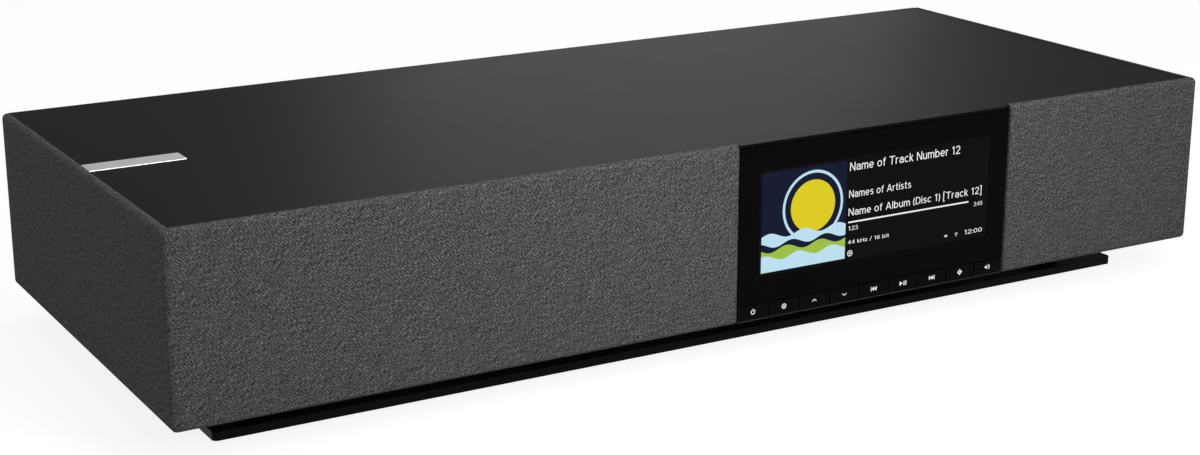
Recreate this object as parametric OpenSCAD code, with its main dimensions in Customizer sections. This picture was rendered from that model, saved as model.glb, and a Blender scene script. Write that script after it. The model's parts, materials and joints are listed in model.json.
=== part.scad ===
// All-in-one stereo system. A cabinet clad in stretched fabric stands clear of a base plate. Its front
// has a glass console with a screen and a row of keys. A stereo pair of woofers and tweeters sits
// behind the fabric, and a subwoofer fires down into the gap above the base plate.
// Sizes are in millimetres. +Z is up, the front faces -Y, and the origin is on the floor under the middle.

/* [Cabinet] */
// Width over the fabric
body_w = 660; // [640:1:720]
// Depth over the fabric
body_d = 275; // [262:1:320]
// Height of the fabric-clad box
body_h = 102; // [100:1:116]
// Thickness of the floor, side and baffle boards
board_t = 9; // [8:0.5:10]
// Thickness of the boards between the chambers
divider_t = 6; // [5:0.5:8]
// Thickness of the back panel
back_t = 6; // [5:0.5:7]
// Thickness of the metal top plate
top_t = 2; // [1.5:0.1:3]
// Depth of the top plate below the rim of the fabric
top_drop = 0.4; // [0.2:0.1:0.8]

/* [Fabric covers] */
// Thickness of the fabric
cloth_t = 0.8; // [0.6:0.1:1.2]
// Thickness of the frame that the fabric is stretched over
grille_t = 3.2; // [2.8:0.1:4]
// Radius of the rounded outer edges
edge_r = 3; // [2.2:0.1:3.5]
// Width of one sound slot in a frame
slot_w = 6; // [4:0.5:7]
// Distance from one sound slot to the next
slot_pitch = 12; // [10:0.5:15]
// Plain border of a frame above, below and beside its sound slots
slot_border = 12; // [9:0.5:15]
// Open joint between a fabric cover and the console
reveal = 0.6; // [0.4:0.1:1]

/* [Base] */
// Height of the rubber feet
foot_h = 2; // [1.5:0.1:4]
// Radius of a rubber foot
foot_r = 11; // [8:0.5:14]
// Thickness of the base plate
plate_t = 5; // [4.5:0.1:8]
// Gap between the base plate and the cabinet
base_gap = 16; // [12:0.5:24]
// Distance of the base plate's ends from the sides of the cabinet
base_inset_x = 31; // [20:1:45]
// Distance of the base plate's long edges from the front and back of the cabinet
base_inset_y = 32; // [20:1:45]
// Corner radius of the base plate
base_corner_r = 3; // [1:0.5:10]
// Radius of a spacer column
spacer_r = 10; // [8:0.5:14]
// Distance of a spacer's axis from the edges of the base plate
spacer_inset = 30; // [24:1:34]
// Distance between the axes of a foot and of the spacer above it, along the plate
foot_offset = 26; // [26:1:40]

/* [Console] */
// Width of the fabric to the right of the console
right_panel_w = 148.8; // [146:0.1:156]
// Number of keys
key_count = 9; // [9:1:9]
// Distance from one key to the next
key_pitch = 20.8; // [20.4:0.1:21.4]
// Height of a key
key_h = 9.2; // [8.4:0.1:9.6]
// Joint between two keys, and between the keys and the glass
key_gap = 0.4; // [0.3:0.05:0.6]
// Thickness of a key's cap
key_cap_t = 3; // [2.5:0.1:3.4]
// Stroke of a key
key_travel = 0.6; // [0.4:0.05:0.8]
// Depth of the glass and the keys behind the face of the fabric
console_recess = 0.5; // [0.2:0.1:0.8]
// Thickness of the glass
glass_t = 2; // [1.5:0.1:2.4]
// Depth of the console behind the glass
console_d = 20; // [19:0.5:24]
// Wall of the console's carrier
carrier_wall = 2; // [1.6:0.1:2.4]

/* [Screen] */
// Width of the lit area
screen_w = 160.5; // [150:0.5:170]
// Height of the lit area
screen_h = 60.2; // [50:0.1:64]
// Frame around the lit area
screen_rim = 4; // [3:0.5:5]
// Thickness of the screen panel
screen_t = 3; // [2.5:0.1:4]
// Distance of the screen's middle below the rim of the fabric
screen_drop = 46.7; // [44:0.1:48]

/* [Badge] */
// Length of the plain metal badge on the top plate
badge_l = 53; // [40:1:70]
// Width of the badge
badge_w = 14.5; // [8:0.5:20]
// Thickness of the badge
badge_t = 0.8; // [0.6:0.1:1.2]
// Depth of the badge's recess in the top plate
badge_seat = 0.4; // [0.2:0.1:0.6]
// Distance of the badge's middle from the front of the cabinet
badge_y = 130.5; // [40:0.5:180]

/* [Woofers] */
// Outer radius of a woofer's frame
woofer_frame_r = 39; // [37.5:0.5:40]
// Radius of a woofer's opening in the baffle
woofer_open_r = 32; // [30:0.5:32.5]
// Radius of the roll in a woofer's surround
woofer_roll_r = 2.8; // [2.2:0.1:3.2]
// Radius of a woofer's voice coil
woofer_coil_r = 12.5; // [11:0.5:13]
// Radius of a woofer's spider
woofer_spider_r = 22; // [20:0.5:23]
// Radius of a woofer's magnet
woofer_magnet_r = 28; // [25:0.5:32]
// Depth of a woofer's basket, from its flange to its motor
woofer_basket_d = 22; // [20:0.5:26]
// Depth of a woofer's motor
woofer_motor_d = 24; // [22:0.5:30]
// Excursion of a woofer's cone, each way
woofer_travel = 2.5; // [1:0.1:2.8]

/* [Subwoofer] */
// Outer radius of the subwoofer's frame
sub_frame_r = 52; // [50:0.5:60]
// Radius of the subwoofer's opening in the floor
sub_open_r = 44; // [40:0.5:45]
// Radius of the roll in the subwoofer's surround
sub_roll_r = 4; // [3:0.1:4.4]
// Radius of the subwoofer's voice coil
sub_coil_r = 16; // [13:0.5:17]
// Radius of the subwoofer's spider
sub_spider_r = 29; // [26:0.5:31]
// Radius of the subwoofer's magnet
sub_magnet_r = 38; // [34:0.5:44]
// Depth of the subwoofer's basket, from its flange to its motor
sub_basket_d = 30; // [28:0.5:36]
// Depth of the subwoofer's motor
sub_motor_d = 28; // [26:0.5:34]
// Excursion of the subwoofer's cone, each way
sub_travel = 3.5; // [2:0.1:3.8]

/* [Tweeters] */
// Outer radius of a tweeter's flange
tweeter_frame_r = 19; // [18.5:0.5:20]
// Radius of a tweeter's dome
tweeter_dome_r = 10; // [8:0.5:10]
// Depth of a tweeter behind its flange
tweeter_d = 16; // [12:0.5:20]
// Excursion of a tweeter's dome, each way
tweeter_travel = 0.3; // [0.1:0.05:0.4]

/* [Connectors] */
// Width of the connector recess in the back panel
tray_w = 124; // [118:1:150]
// Height of the connector recess
tray_h = 42; // [36:1:48]
// Depth of the connector recess behind the back panel
tray_d = 8; // [7:0.5:10]
// Thickness of the metal connector plate
tray_t = 1.5; // [1:0.1:2]
// Outer radius of a line jack's barrel
line_jack_r = 4.15; // [4:0.05:4.3]
// Length of a line jack's barrel above its collar
line_jack_l = 9; // [8:0.5:10]

/* [Hidden] */
$fn = 64;
KEYS = ["key_power", "key_source", "key_up", "key_down", "key_previous", "key_play", "key_next", "key_menu",
        "key_volume"];

// Clearances and small standard sizes
fit = 0.1;            // between pieces that seat in each other
slip = 0.25;          // around a key's tongue in its slot
over = 1;             // how far a cutting shape runs past the face it cuts
skin = 0.6;           // surrounds, spiders and cone rims
coil_gap = 0.5;       // on each side of a voice coil
flange_t = 3;         // flange of a driver
lip_w = 2.5;          // glued lip of a surround
basket_wall = 1.6;
cone_wall = 0.8;
pcb_t = 1.6;
screw_r = 1.5;        // thin screws of the drivers and the back panel
screw_head_r = 3;
screw_head_h = 1.8;
screw_bite = 6;       // length of a screw in the board that holds it
base_screw_r = 2.5;   // stout screws of the base
base_head_r = 4.6;
base_head_h = 2.6;

// Heights
z_body0 = foot_h + plate_t + base_gap;
z_body1 = z_body0 + body_h;
z_floor1 = z_body0 + board_t;
z_lid0 = z_body1 - top_drop - top_t;
z_drivers = (z_floor1 + z_lid0) / 2;

// Planes across the cabinet
half_w = body_w / 2;
half_d = body_d / 2;
cover_t = cloth_t + grille_t;
x_shell = half_w - cover_t;
x_room = x_shell - board_t;
y_baffle0 = cover_t - half_d;
y_baffle1 = y_baffle0 + board_t;
y_back0 = half_d - back_t;

// Console, from the front backwards
console_w = key_count * key_pitch;
console_x1 = half_w - right_panel_w;
console_x0 = console_x1 - console_w;
console_xc = (console_x0 + console_x1) / 2;
y_console = console_recess - half_d;
y_glass1 = y_console + glass_t;
y_carrier1 = y_glass1 + console_d;
z_key0 = z_body0 + key_gap;
z_key1 = z_key0 + key_h;
z_glass0 = z_key1 + key_gap;
z_glass1 = z_lid0 - 2 * fit;
z_screen = z_body1 - screen_drop;
panel_w = screen_w + 2 * screen_rim;
panel_h = screen_h + 2 * screen_rim;

// A key: a cap in front of the floor's edge, a riser behind the glass and a tongue into the carrier
key_w = key_pitch - key_gap;
riser_t = 2.4;
riser_w = 10;
tongue_w = 6;
tongue_h = 3;
barb_t = 1.2;
barb_h = 0.8;
z_tongue = z_floor1 + carrier_wall + tongue_h;
z_riser1 = z_tongue + tongue_h / 2 + barb_h;
y_riser1 = y_console + key_cap_t + riser_t;
y_key_wall0 = y_riser1 + key_travel + 2 * fit;
y_key_wall1 = y_key_wall0 + carrier_wall;
y_barb1 = y_key_wall1 + fit + barb_t;
notch_y = y_key_wall0;   // front edge of the floor behind the keys

// The board behind the keys
switch_w = 4.5;
switch_t = 3.4;
plunger_r = 1.2;
plunger_l = 0.8;
y_plunger0 = y_barb1 + key_travel + fit / 2;
y_key_board0 = y_plunger0 + plunger_l + switch_t;
key_board_h = 12;
shelf_z0 = z_riser1 + 2 * fit;
standoff_r = 3;

// Chambers and drivers
divider_gap = 2;      // between the console and the boards beside it
driver_gap = 3;       // between two drivers, and between a driver and a board
woofer_x = x_room - driver_gap - woofer_frame_r;
tweeter_x = woofer_x - woofer_frame_r - driver_gap - tweeter_frame_r;
tweeter_open_r = tweeter_dome_r + 3;
divider_middle_x1 = console_x0 - divider_gap;
divider_middle_x0 = divider_middle_x1 - divider_t;
divider_right_x0 = console_x1 + divider_gap;
divider_right_x1 = divider_right_x0 + divider_t;
divider_left_x0 = driver_gap + tweeter_frame_r - tweeter_x;
divider_left_x1 = divider_left_x0 + divider_t;
sub_x = (divider_left_x1 + divider_middle_x0) / 2;
sub_y = (y_baffle1 + y_back0) / 2;
woofer_screws = 4;
sub_screws = 6;
tweeter_screws = 3;
woofer_screw_r = (woofer_frame_r + woofer_open_r) / 2;
sub_screw_r = (sub_frame_r + sub_open_r) / 2;
tweeter_screw_r = (tweeter_frame_r + tweeter_open_r) / 2;

// Base
base_x = half_w - base_inset_x;
base_y = half_d - base_inset_y;
spacer_x = base_x - spacer_inset;
spacer_y = base_y - spacer_inset;
foot_x = spacer_x - foot_offset;

// Connector recess and its sockets
tray_z = z_drivers;
tray_rim = 6;
tray_clear = 0.3;
y_tray1 = y_back0 - tray_d;
y_tray0 = y_tray1 - tray_t;
mains_x = console_xc + 40;
network_x = console_xc + 6;
line_x = console_xc - 28;
line_pitch = 18;
mains_flange = [31, 2, 23];
mains_body = [26, 18];
mains_pin_r = 1.15;
mains_pin_pitch = 8.6;
mains_lobe_r = 4.6;
mains_recess = 13;
mains_end_t = 2;
mains_pin_l = 9.5;
network_size = [16, 17, 13.5];
network_mouth = [11.9, 13, 8];
network_stand = 1;    // how far the network jack stands out of the plate
line_body = [12, 10, 12];
line_bore_r = 1.6;
line_neck_r = 3.6;
line_collar_r = 5.6;
line_collar_t = 1.5;
back_screw_inset = 5;

// Boards in the electronics bay
board_lift = 6;
main_size = [108, 92];
amp_size = [84, 84];
supply_size = [60, 150];
bay_margin = 8;
leg_r = 2.5;
// Blocks on the boards as [x, y, width, depth, height], and round cans as [x, y, radius, height]
main_blocks = [[10, 34, 36, 28, 3.5], [56, 44, 32, 32, 5]];
main_cans = [[14, 78, 3, 9], [23, 78, 3, 9], [32, 78, 3, 9], [41, 78, 3, 9]];
amp_blocks = [[6, 36, 50, 34, 4]];
amp_cans = [[14, 18, 6.5, 22], [32, 18, 6.5, 22], [50, 18, 6.5, 22], [68, 18, 6.5, 22]];
supply_blocks = [[11, 60, 38, 38, 32], [8, 112, 20, 18, 18], [36, 108, 6, 28, 26]];
supply_cans = [[17, 36, 11, 34], [43, 36, 11, 34]];
fin_count = 7;
fin_t = 2;
fin_h = 26;

// A box between two corners
module box(low, high) {
    translate(low) cube(high - low);
}

// A flat outline with round corners, centred on the origin
module round_rect(w, d, r) {
    square([w - 2 * r, d], center = true);
    square([w, d - 2 * r], center = true);
    for (x = [-1, 1], y = [-1, 1]) translate([x * (w / 2 - r), y * (d / 2 - r)]) circle(r);
}

// Turns a driver's own frame, whose +Z is forward, to the back of a baffle at x
module on_baffle(x) {
    translate([x, y_baffle1, z_drivers]) rotate([90, 0, 0]) children();
}

// Turns a driver's own frame to the top of the floor, so that it fires down
module on_floor() {
    translate([sub_x, sub_y, z_floor1]) rotate([180, 0, 0]) children();
}

// Screw places on a circle
module on_circle(count, r) {
    for (i = [0 : count - 1]) rotate(360 * (i + 0.5) / count) translate([r, 0, 0]) children();
}

// A screw whose head rests on z = 0 and whose shank points up
module screw(r, head_r, head_h, length) {
    cylinder(r = r, h = length);
    difference() {
        translate([0, 0, -head_h]) cylinder(r = head_r, h = head_h);
        translate([0, 0, -head_h - over]) cylinder(r = r, h = head_h / 2 + over, $fn = 6);
    }
}

// The pilot holes that the thin screws bite into, from z = 0 upwards
module pilot_holes(count, r) {
    on_circle(count, r) translate([0, 0, -over]) cylinder(r = screw_r, h = screw_bite + over);
}

// Cabinet boards

module cabinet_floor() {
    color("dimgray") difference() {
        box([-x_shell, y_baffle0, z_body0], [x_shell, y_back0, z_floor1]);
        box([console_x0, y_baffle0 - over, z_body0 - over], [console_x1, notch_y, z_floor1 + over]);
        on_floor() translate([0, 0, -over]) cylinder(r = sub_open_r, h = board_t + 2 * over);
        on_floor() pilot_holes(sub_screws, sub_screw_r);
        spacer_places() translate([0, 0, z_body0 - over]) cylinder(r = base_screw_r, h = screw_bite + over);
        back_pilot_holes();
    }
}

module side_board(side) {
    color("dimgray") difference() {
        translate([side * (x_shell - board_t / 2), 0, 0])
            box([-board_t / 2, y_baffle0, z_floor1], [board_t / 2, y_back0, z_lid0]);
        back_pilot_holes();
    }
}

// One baffle: a board with an opening for a woofer and one for a tweeter
module baffle(x0, x1, side) {
    color("dimgray") difference() {
        box([x0, y_baffle0, z_floor1], [x1, y_baffle1, z_lid0]);
        on_baffle(side * woofer_x) {
            translate([0, 0, -over]) cylinder(r = woofer_open_r, h = board_t + 2 * over);
            pilot_holes(woofer_screws, woofer_screw_r);
        }
        on_baffle(side * tweeter_x) {
            translate([0, 0, -over]) cylinder(r = tweeter_open_r, h = board_t + 2 * over);
            pilot_holes(tweeter_screws, tweeter_screw_r);
        }
    }
}

module divider(x0, x1) {
    color("dimgray") difference() {
        box([x0, y_baffle1, z_floor1], [x1, y_back0, z_lid0]);
        back_pilot_holes();
    }
}

module back_panel() {
    color("black") difference() {
        box([-x_shell, y_back0, z_body0], [x_shell, half_d, z_lid0]);
        box([console_xc - tray_w / 2, y_back0 - over, tray_z - tray_h / 2],
            [console_xc + tray_w / 2, half_d + over, tray_z + tray_h / 2]);
        back_screw_places() {
            translate([0, 0, -over]) cylinder(r = screw_r + fit, h = back_t + over);
            translate([0, 0, -screw_head_h - over]) cylinder(r = screw_head_r + fit, h = screw_head_h + over);
        }
    }
}

// Places of the back panel's screws, whose heads rest in its outside and whose shanks point inwards
module back_screw_places() {
    rows = [z_body0 + board_t / 2, z_lid0 - back_screw_inset];
    columns = [-x_shell + board_t / 2, divider_left_x0 + divider_t / 2, divider_middle_x0 + divider_t / 2,
               divider_right_x0 + divider_t / 2, x_shell - board_t / 2];
    for (x = columns, z = rows) translate([x, half_d - screw_head_h, z]) rotate([90, 0, 0]) children();
}

// The pilot holes of those screws in the edges of the boards behind the panel
module back_pilot_holes() {
    back_screw_places() cylinder(r = screw_r, h = back_t - screw_head_h + screw_bite);
}

// Fabric covers

// The cabinet's outer block with every edge rounded, drawn in by inset
module body_block(inset) {
    w = body_w - 2 * inset;
    d = body_d - 2 * inset;
    h = body_h - 2 * inset;
    r = edge_r - inset;
    translate([0, 0, (z_body0 + z_body1) / 2]) intersection() {
        linear_extrude(h, center = true) round_rect(w, d, r);
        rotate([90, 0, 0]) linear_extrude(d, center = true) round_rect(w, h, r);
        rotate([90, 0, 90]) linear_extrude(w, center = true) round_rect(d, h, r);
    }
}

// The part of that block between x0 and x1, as an angle that goes round one front corner
module cover_block(inset, x0, x1, side) {
    room = side < 0 ? [-x_shell, half_w + over] : [-half_w - over, x_shell];
    difference() {
        intersection() {
            body_block(inset);
            box([x0, -half_d - over, z_body0 - over], [x1, half_d + over, z_body1 + over]);
        }
        box([room[0], y_baffle0, z_body0 - over], [room[1], half_d + over, z_body1 + over]);
    }
}

module grille_cloth(x0, x1, side) {
    cut0 = side < 0 ? x0 - over : x0 + cloth_t;
    cut1 = side < 0 ? x1 - cloth_t : x1 + over;
    color("dimgray") difference() {
        cover_block(0, x0, x1, side);
        cover_block(cloth_t, cut0, cut1, side);
    }
}

module grille_frame(x0, x1, side) {
    inner0 = side < 0 ? x0 : x0 + cloth_t;
    inner1 = side < 0 ? x1 - cloth_t : x1;
    span = x1 - x0 - 2 * slot_border - slot_w;
    count = floor(span / slot_pitch);
    color("black") difference() {
        cover_block(cloth_t, inner0, inner1, side);
        for (i = [0 : count]) {
            x = (x0 + x1) / 2 + (i - count / 2) * slot_pitch;
            box([x - slot_w / 2, -half_d - over, z_body0 + slot_border],
                [x + slot_w / 2, y_baffle0 + over, z_body1 - slot_border]);
        }
    }
}

// Top plate and badge

module top_plate() {
    x_lid = x_shell - fit;
    badge_mid = badge_y - half_d;
    color("#303030") difference() {
        union() {
            box([-x_lid, y_baffle0 + fit, z_lid0], [x_lid, half_d, z_lid0 + top_t]);
            box([console_x0, y_console, z_lid0], [console_x1, y_baffle0 + fit + over, z_lid0 + top_t]);
        }
        box([-x_lid - over, badge_mid - badge_w / 2 - fit, z_lid0 + top_t - badge_seat],
            [badge_l - x_lid + fit, badge_mid + badge_w / 2 + fit, z_lid0 + top_t + over]);
    }
}

module badge() {
    x0 = fit - x_shell;
    z0 = z_lid0 + top_t - badge_seat;
    badge_mid = badge_y - half_d;
    color("silver") translate([x0, badge_mid - badge_w / 2, z0]) cube([badge_l, badge_w, badge_t]);
}

// Console

module front_glass() {
    color("black") box([console_x0, y_console, z_glass0], [console_x1, y_glass1, z_glass1]);
}

module screen_panel() {
    color("midnightblue") translate([console_xc, y_glass1, z_screen])
        box([-panel_w / 2, 0, -panel_h / 2], [panel_w / 2, screen_t, panel_h / 2]);
}

// Middle of key number i
function key_x(i) = console_x0 + (i + 0.5) * key_pitch;

module console_carrier() {
    wall = carrier_wall;
    color("#181818") {
        difference() {
            box([console_x0, y_glass1, z_floor1], [console_x1, y_carrier1, z_glass1]);
            // The room behind the glass, above the shelf
            box([console_x0 + wall, y_glass1 + wall, shelf_z0 + wall],
                [console_x1 - wall, y_carrier1 - wall, z_glass1 - wall]);
            // The room of the key board, below the shelf
            box([console_x0 + wall, y_key_wall1, z_floor1 + wall],
                [console_x1 - wall, y_carrier1 - wall, shelf_z0 + wall + over]);
            // The open front in which the keys' risers move
            box([console_x0 - over, y_glass1 - over, z_floor1 - over],
                [console_x1 + over, y_key_wall0, shelf_z0]);
            // The window that the screen panel stands in
            box([console_xc - panel_w / 2 - fit, y_glass1 - over, z_screen - panel_h / 2 - fit],
                [console_xc + panel_w / 2 + fit, y_glass1 + wall + over, z_screen + panel_h / 2 + fit]);
            // A slot for each key's tongue
            for (i = [0 : key_count - 1])
                box([key_x(i) - tongue_w / 2 - slip, y_key_wall0 - over, z_tongue - tongue_h / 2 - slip],
                    [key_x(i) + tongue_w / 2 + slip, y_key_wall1 + over, z_tongue + tongue_h / 2 + slip]);
            // The slot that the screen's ribbon leaves by
            box([console_xc - ribbon_w / 2 - slip, y_carrier1 - wall - over, ribbon_z - 2 * slip],
                [console_xc + ribbon_w / 2 + slip, y_carrier1 + over, ribbon_z + ribbon_t + 2 * slip]);
        }
        key_board_posts() cylinder(r = standoff_r, h = y_carrier1 - wall - y_key_board0 - pcb_t);
    }
}

// Places of the posts that carry the key board, on its back and pointing backwards
module key_board_posts() {
    for (x = [console_x0 + key_pitch, console_xc, console_x1 - key_pitch])
        translate([x, y_key_board0 + pcb_t, z_tongue + tongue_h + standoff_r]) rotate([-90, 0, 0]) children();
}

module key_board() {
    z0 = z_floor1 + carrier_wall + fit;
    side_gap = carrier_wall + fit;
    color("darkgreen") box([console_x0 + side_gap, y_key_board0, z0],
                           [console_x1 - side_gap, y_key_board0 + pcb_t, z0 + key_board_h]);
}

module key_switches() {
    color("black") for (i = [0 : key_count - 1]) translate([key_x(i), y_key_board0, z_tongue]) {
        box([-switch_w / 2, -switch_t, -switch_w / 2], [switch_w / 2, 0, switch_w / 2]);
        translate([0, -switch_t, 0]) rotate([90, 0, 0]) cylinder(r = plunger_r, h = plunger_l);
    }
}

// One key: cap, riser, tongue and the barb that keeps it in its slot
module key(i) {
    w = key_w / 2;
    color("#141414") translate([key_x(i), 0, 0]) {
        box([-w, y_console, z_key0], [w, y_console + key_cap_t, z_key1]);
        box([-riser_w / 2, y_console + key_cap_t - over, (z_key0 + z_key1) / 2],
            [riser_w / 2, y_console + key_cap_t, z_key1]);
        box([-riser_w / 2, y_console + key_cap_t, (z_key0 + z_key1) / 2], [riser_w / 2, y_riser1, z_riser1]);
        box([-tongue_w / 2, y_riser1 - over, z_tongue - tongue_h / 2],
            [tongue_w / 2, y_barb1, z_tongue + tongue_h / 2]);
        box([-tongue_w / 2, y_barb1 - barb_t, z_tongue - tongue_h / 2],
            [tongue_w / 2, y_barb1, z_tongue + tongue_h / 2 + barb_h]);
    }
}

// The flat ribbon from the back of the screen panel to its socket on the main board
ribbon_w = 30;
ribbon_t = 0.4;
ribbon_z = z_screen;
plug_h = 4;
plug_d = 10;
main_y0 = y_carrier1 + divider_gap;
ribbon_y = main_y0 + bay_margin + plug_d / 2;
ribbon_foot_z = z_floor1 + board_lift + pcb_t + plug_h;

module screen_ribbon() {
    color("khaki") translate([console_xc - ribbon_w / 2, 0, 0]) {
        box([0, y_glass1 + screen_t, ribbon_z], [ribbon_w, ribbon_y, ribbon_z + ribbon_t]);
        box([0, ribbon_y - ribbon_t, ribbon_foot_z], [ribbon_w, ribbon_y, ribbon_z + ribbon_t]);
    }
}

// Drivers. Each is drawn in a frame whose z = 0 is the front of its flange and whose +Z is forward.

// Radius of the cone's rim inside a surround
function rim_radius(open_r, roll_r) = open_r - lip_w - 2 * roll_r;
// Depth of the face that a surround is glued to
z_glue = -flange_t / 2;
// Height of the spider above the motor
spider_rise = 5;

module driver_basket(frame_r, open_r, coil_r, spider_r, depth, screws, holes_r) {
    wall_r = open_r - lip_w;
    floor_r = coil_r + cone_wall + 2 * coil_gap;
    shelf_r = spider_r - lip_w;
    shelf_z = spider_rise - depth;
    window_w = spider_r * 0.7;
    color("#202020") difference() {
        rotate_extrude() polygon([
            [open_r, 0], [frame_r, 0], [frame_r, -flange_t], [wall_r + basket_wall, -flange_t],
            [spider_r + basket_wall, shelf_z], [spider_r + basket_wall, -depth], [floor_r, -depth],
            [floor_r, basket_wall - depth], [shelf_r, basket_wall - depth], [shelf_r, shelf_z],
            [spider_r, shelf_z], [wall_r, -flange_t], [wall_r, z_glue], [open_r, z_glue]
        ]);
        for (a = [0 : 90 : 270]) rotate(a)
            box([shelf_r, -window_w / 2, shelf_z + flange_t], [frame_r, window_w / 2, -2 * flange_t]);
        on_circle(screws, holes_r) translate([0, 0, -flange_t - over])
            cylinder(r = screw_r + fit, h = flange_t + 2 * over);
    }
}

module driver_motor(coil_r, magnet_r, basket_d, motor_d) {
    plate = 5;
    step = 1;
    pole_r = coil_r - coil_gap;
    gap_r = coil_r + cone_wall + coil_gap;
    ring_r = gap_r + plate / 2;
    front = -basket_d;
    back = -basket_d - motor_d;
    color("#3a3a3e") rotate_extrude() polygon([
        [0, front], [pole_r, front], [pole_r, back + plate], [ring_r, back + plate], [ring_r, front - plate],
        [gap_r, front - plate], [gap_r, front], [magnet_r - step, front], [magnet_r - step, front - plate],
        [magnet_r, front - plate], [magnet_r, back + plate], [magnet_r - step, back + plate],
        [magnet_r - step, back], [0, back]
    ]);
}

// Cone, dust cap and voice coil in one
module driver_cone(open_r, roll_r, coil_r, basket_d, motor_d, travel) {
    rim_r = rim_radius(open_r, roll_r);
    z_rim = z_glue - skin;
    z_neck = spider_rise + cone_wall + travel - basket_d;
    z_end = -basket_d - motor_d / 2;
    cap_h = coil_r / 2;
    sphere_r = (coil_r * coil_r + cap_h * cap_h) / (2 * cap_h);
    sweep = asin(coil_r / sphere_r);
    steps = 8;
    function cap(r, i) = let (a = sweep * i / steps) [r * sin(a), z_neck + cap_h - sphere_r + r * cos(a)];
    color("#262626") rotate_extrude() polygon(concat(
        [for (i = [0 : steps]) cap(sphere_r, i)],
        [[coil_r + cone_wall, z_neck], [rim_r - lip_w, z_glue], [rim_r, z_glue], [rim_r, z_rim],
         [rim_r - lip_w, z_rim], [coil_r + cone_wall, z_neck - 2 * cone_wall], [coil_r + cone_wall, z_end],
         [coil_r, z_end], [coil_r, z_neck - cone_wall]],
        [for (i = [steps - 1 : -1 : 0]) cap(sphere_r - cone_wall, i)]
    ));
}

// Surround and spider: a half roll between two lips, and a corrugated ring
module driver_suspension(open_r, roll_r, coil_r, spider_r, basket_d) {
    lip_out = open_r - fit;
    roll_mid = open_r - lip_w - roll_r;
    lip_in = rim_radius(open_r, roll_r) - lip_w + fit;
    inner_r = coil_r + cone_wall + 3 * fit;
    z_spider = spider_rise - basket_d;
    waves = 3;
    wave_h = skin;
    steps = 12;
    ring_steps = 24;
    function roll(r, i) = let (a = 180 * i / steps) [roll_mid + r * cos(a), z_glue + r * sin(a)];
    function ripple(i, lift) = let (t = i / ring_steps, rise = wave_h * (1 - cos(360 * waves * t)) / 2)
        [inner_r + t * (spider_r - lip_w - inner_r), z_spider + lift + rise];
    color("#1c1c1c") {
        rotate_extrude() polygon(concat(
            [[lip_out, z_glue], [lip_out, z_glue + skin]],
            [for (i = [0 : steps]) roll(roll_r + skin, i)],
            [[lip_in, z_glue + skin], [lip_in, z_glue]],
            [for (i = [steps : -1 : 0]) roll(roll_r, i)]
        ));
        rotate_extrude() polygon(concat(
            [for (i = [0 : ring_steps]) ripple(i, 0)],
            [[spider_r - fit, z_spider], [spider_r - fit, z_spider + skin]],
            [for (i = [ring_steps : -1 : 0]) ripple(i, skin)]
        ));
    }
}

module woofer_basket(side) {
    on_baffle(side * woofer_x) driver_basket(woofer_frame_r, woofer_open_r, woofer_coil_r, woofer_spider_r,
                                             woofer_basket_d, woofer_screws, woofer_screw_r);
}

module woofer_motor(side) {
    on_baffle(side * woofer_x) driver_motor(woofer_coil_r, woofer_magnet_r, woofer_basket_d, woofer_motor_d);
}

module woofer_cone(side) {
    on_baffle(side * woofer_x) driver_cone(woofer_open_r, woofer_roll_r, woofer_coil_r, woofer_basket_d,
                                           woofer_motor_d, woofer_travel);
}

module woofer_suspension(side) {
    on_baffle(side * woofer_x) driver_suspension(woofer_open_r, woofer_roll_r, woofer_coil_r, woofer_spider_r,
                                                 woofer_basket_d);
}

module subwoofer_basket() {
    on_floor() driver_basket(sub_frame_r, sub_open_r, sub_coil_r, sub_spider_r, sub_basket_d, sub_screws,
                             sub_screw_r);
}

module subwoofer_motor() {
    on_floor() driver_motor(sub_coil_r, sub_magnet_r, sub_basket_d, sub_motor_d);
}

module subwoofer_cone() {
    on_floor() driver_cone(sub_open_r, sub_roll_r, sub_coil_r, sub_basket_d, sub_motor_d, sub_travel);
}

module subwoofer_suspension() {
    on_floor() driver_suspension(sub_open_r, sub_roll_r, sub_coil_r, sub_spider_r, sub_basket_d);
}

// Tweeter: a flange and a can, with a groove for the dome's coil
dome_wall = 0.4;
dome_rise = 3.4;
dome_seat = 1.2;
groove_d = 5;

module tweeter(side) {
    pole_r = tweeter_dome_r - dome_wall - coil_gap;
    groove_r = tweeter_dome_r + coil_gap;
    well_r = tweeter_dome_r + 2 * coil_gap;
    can_r = tweeter_screw_r - screw_head_r - 2 * fit;
    color("#202020") on_baffle(side * tweeter_x) difference() {
        rotate_extrude() polygon([
            [0, -dome_seat - flange_t], [pole_r, -dome_seat - flange_t], [pole_r, -flange_t - groove_d],
            [groove_r, -flange_t - groove_d], [groove_r, -dome_seat - flange_t / 2],
            [well_r, -dome_seat - flange_t / 2], [well_r, 0], [tweeter_frame_r, 0],
            [tweeter_frame_r, -flange_t], [can_r, -flange_t], [can_r, -tweeter_d], [0, -tweeter_d]
        ]);
        on_circle(tweeter_screws, tweeter_screw_r) translate([0, 0, -flange_t - over])
            cylinder(r = screw_r + fit, h = flange_t + 2 * over);
    }
}

module tweeter_dome(side) {
    sphere_r = (tweeter_dome_r * tweeter_dome_r + dome_rise * dome_rise) / (2 * dome_rise);
    sweep = asin(tweeter_dome_r / sphere_r);
    z_rim = -dome_seat;
    steps = 8;
    inner_r = tweeter_dome_r - dome_wall;
    function cap(r, i) = let (a = sweep * i / steps) [r * sin(a), z_rim + dome_rise - sphere_r + r * cos(a)];
    color("silver") on_baffle(side * tweeter_x) rotate_extrude() polygon(concat(
        [for (i = [0 : steps]) cap(sphere_r, i)],
        [[tweeter_dome_r, -flange_t - groove_d / 2], [inner_r, -flange_t - groove_d / 2],
         [inner_r, z_rim - dome_wall]],
        [for (i = [steps - 1 : -1 : 0]) cap(sphere_r - dome_wall, i)]
    ));
}

// Electronics

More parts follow.
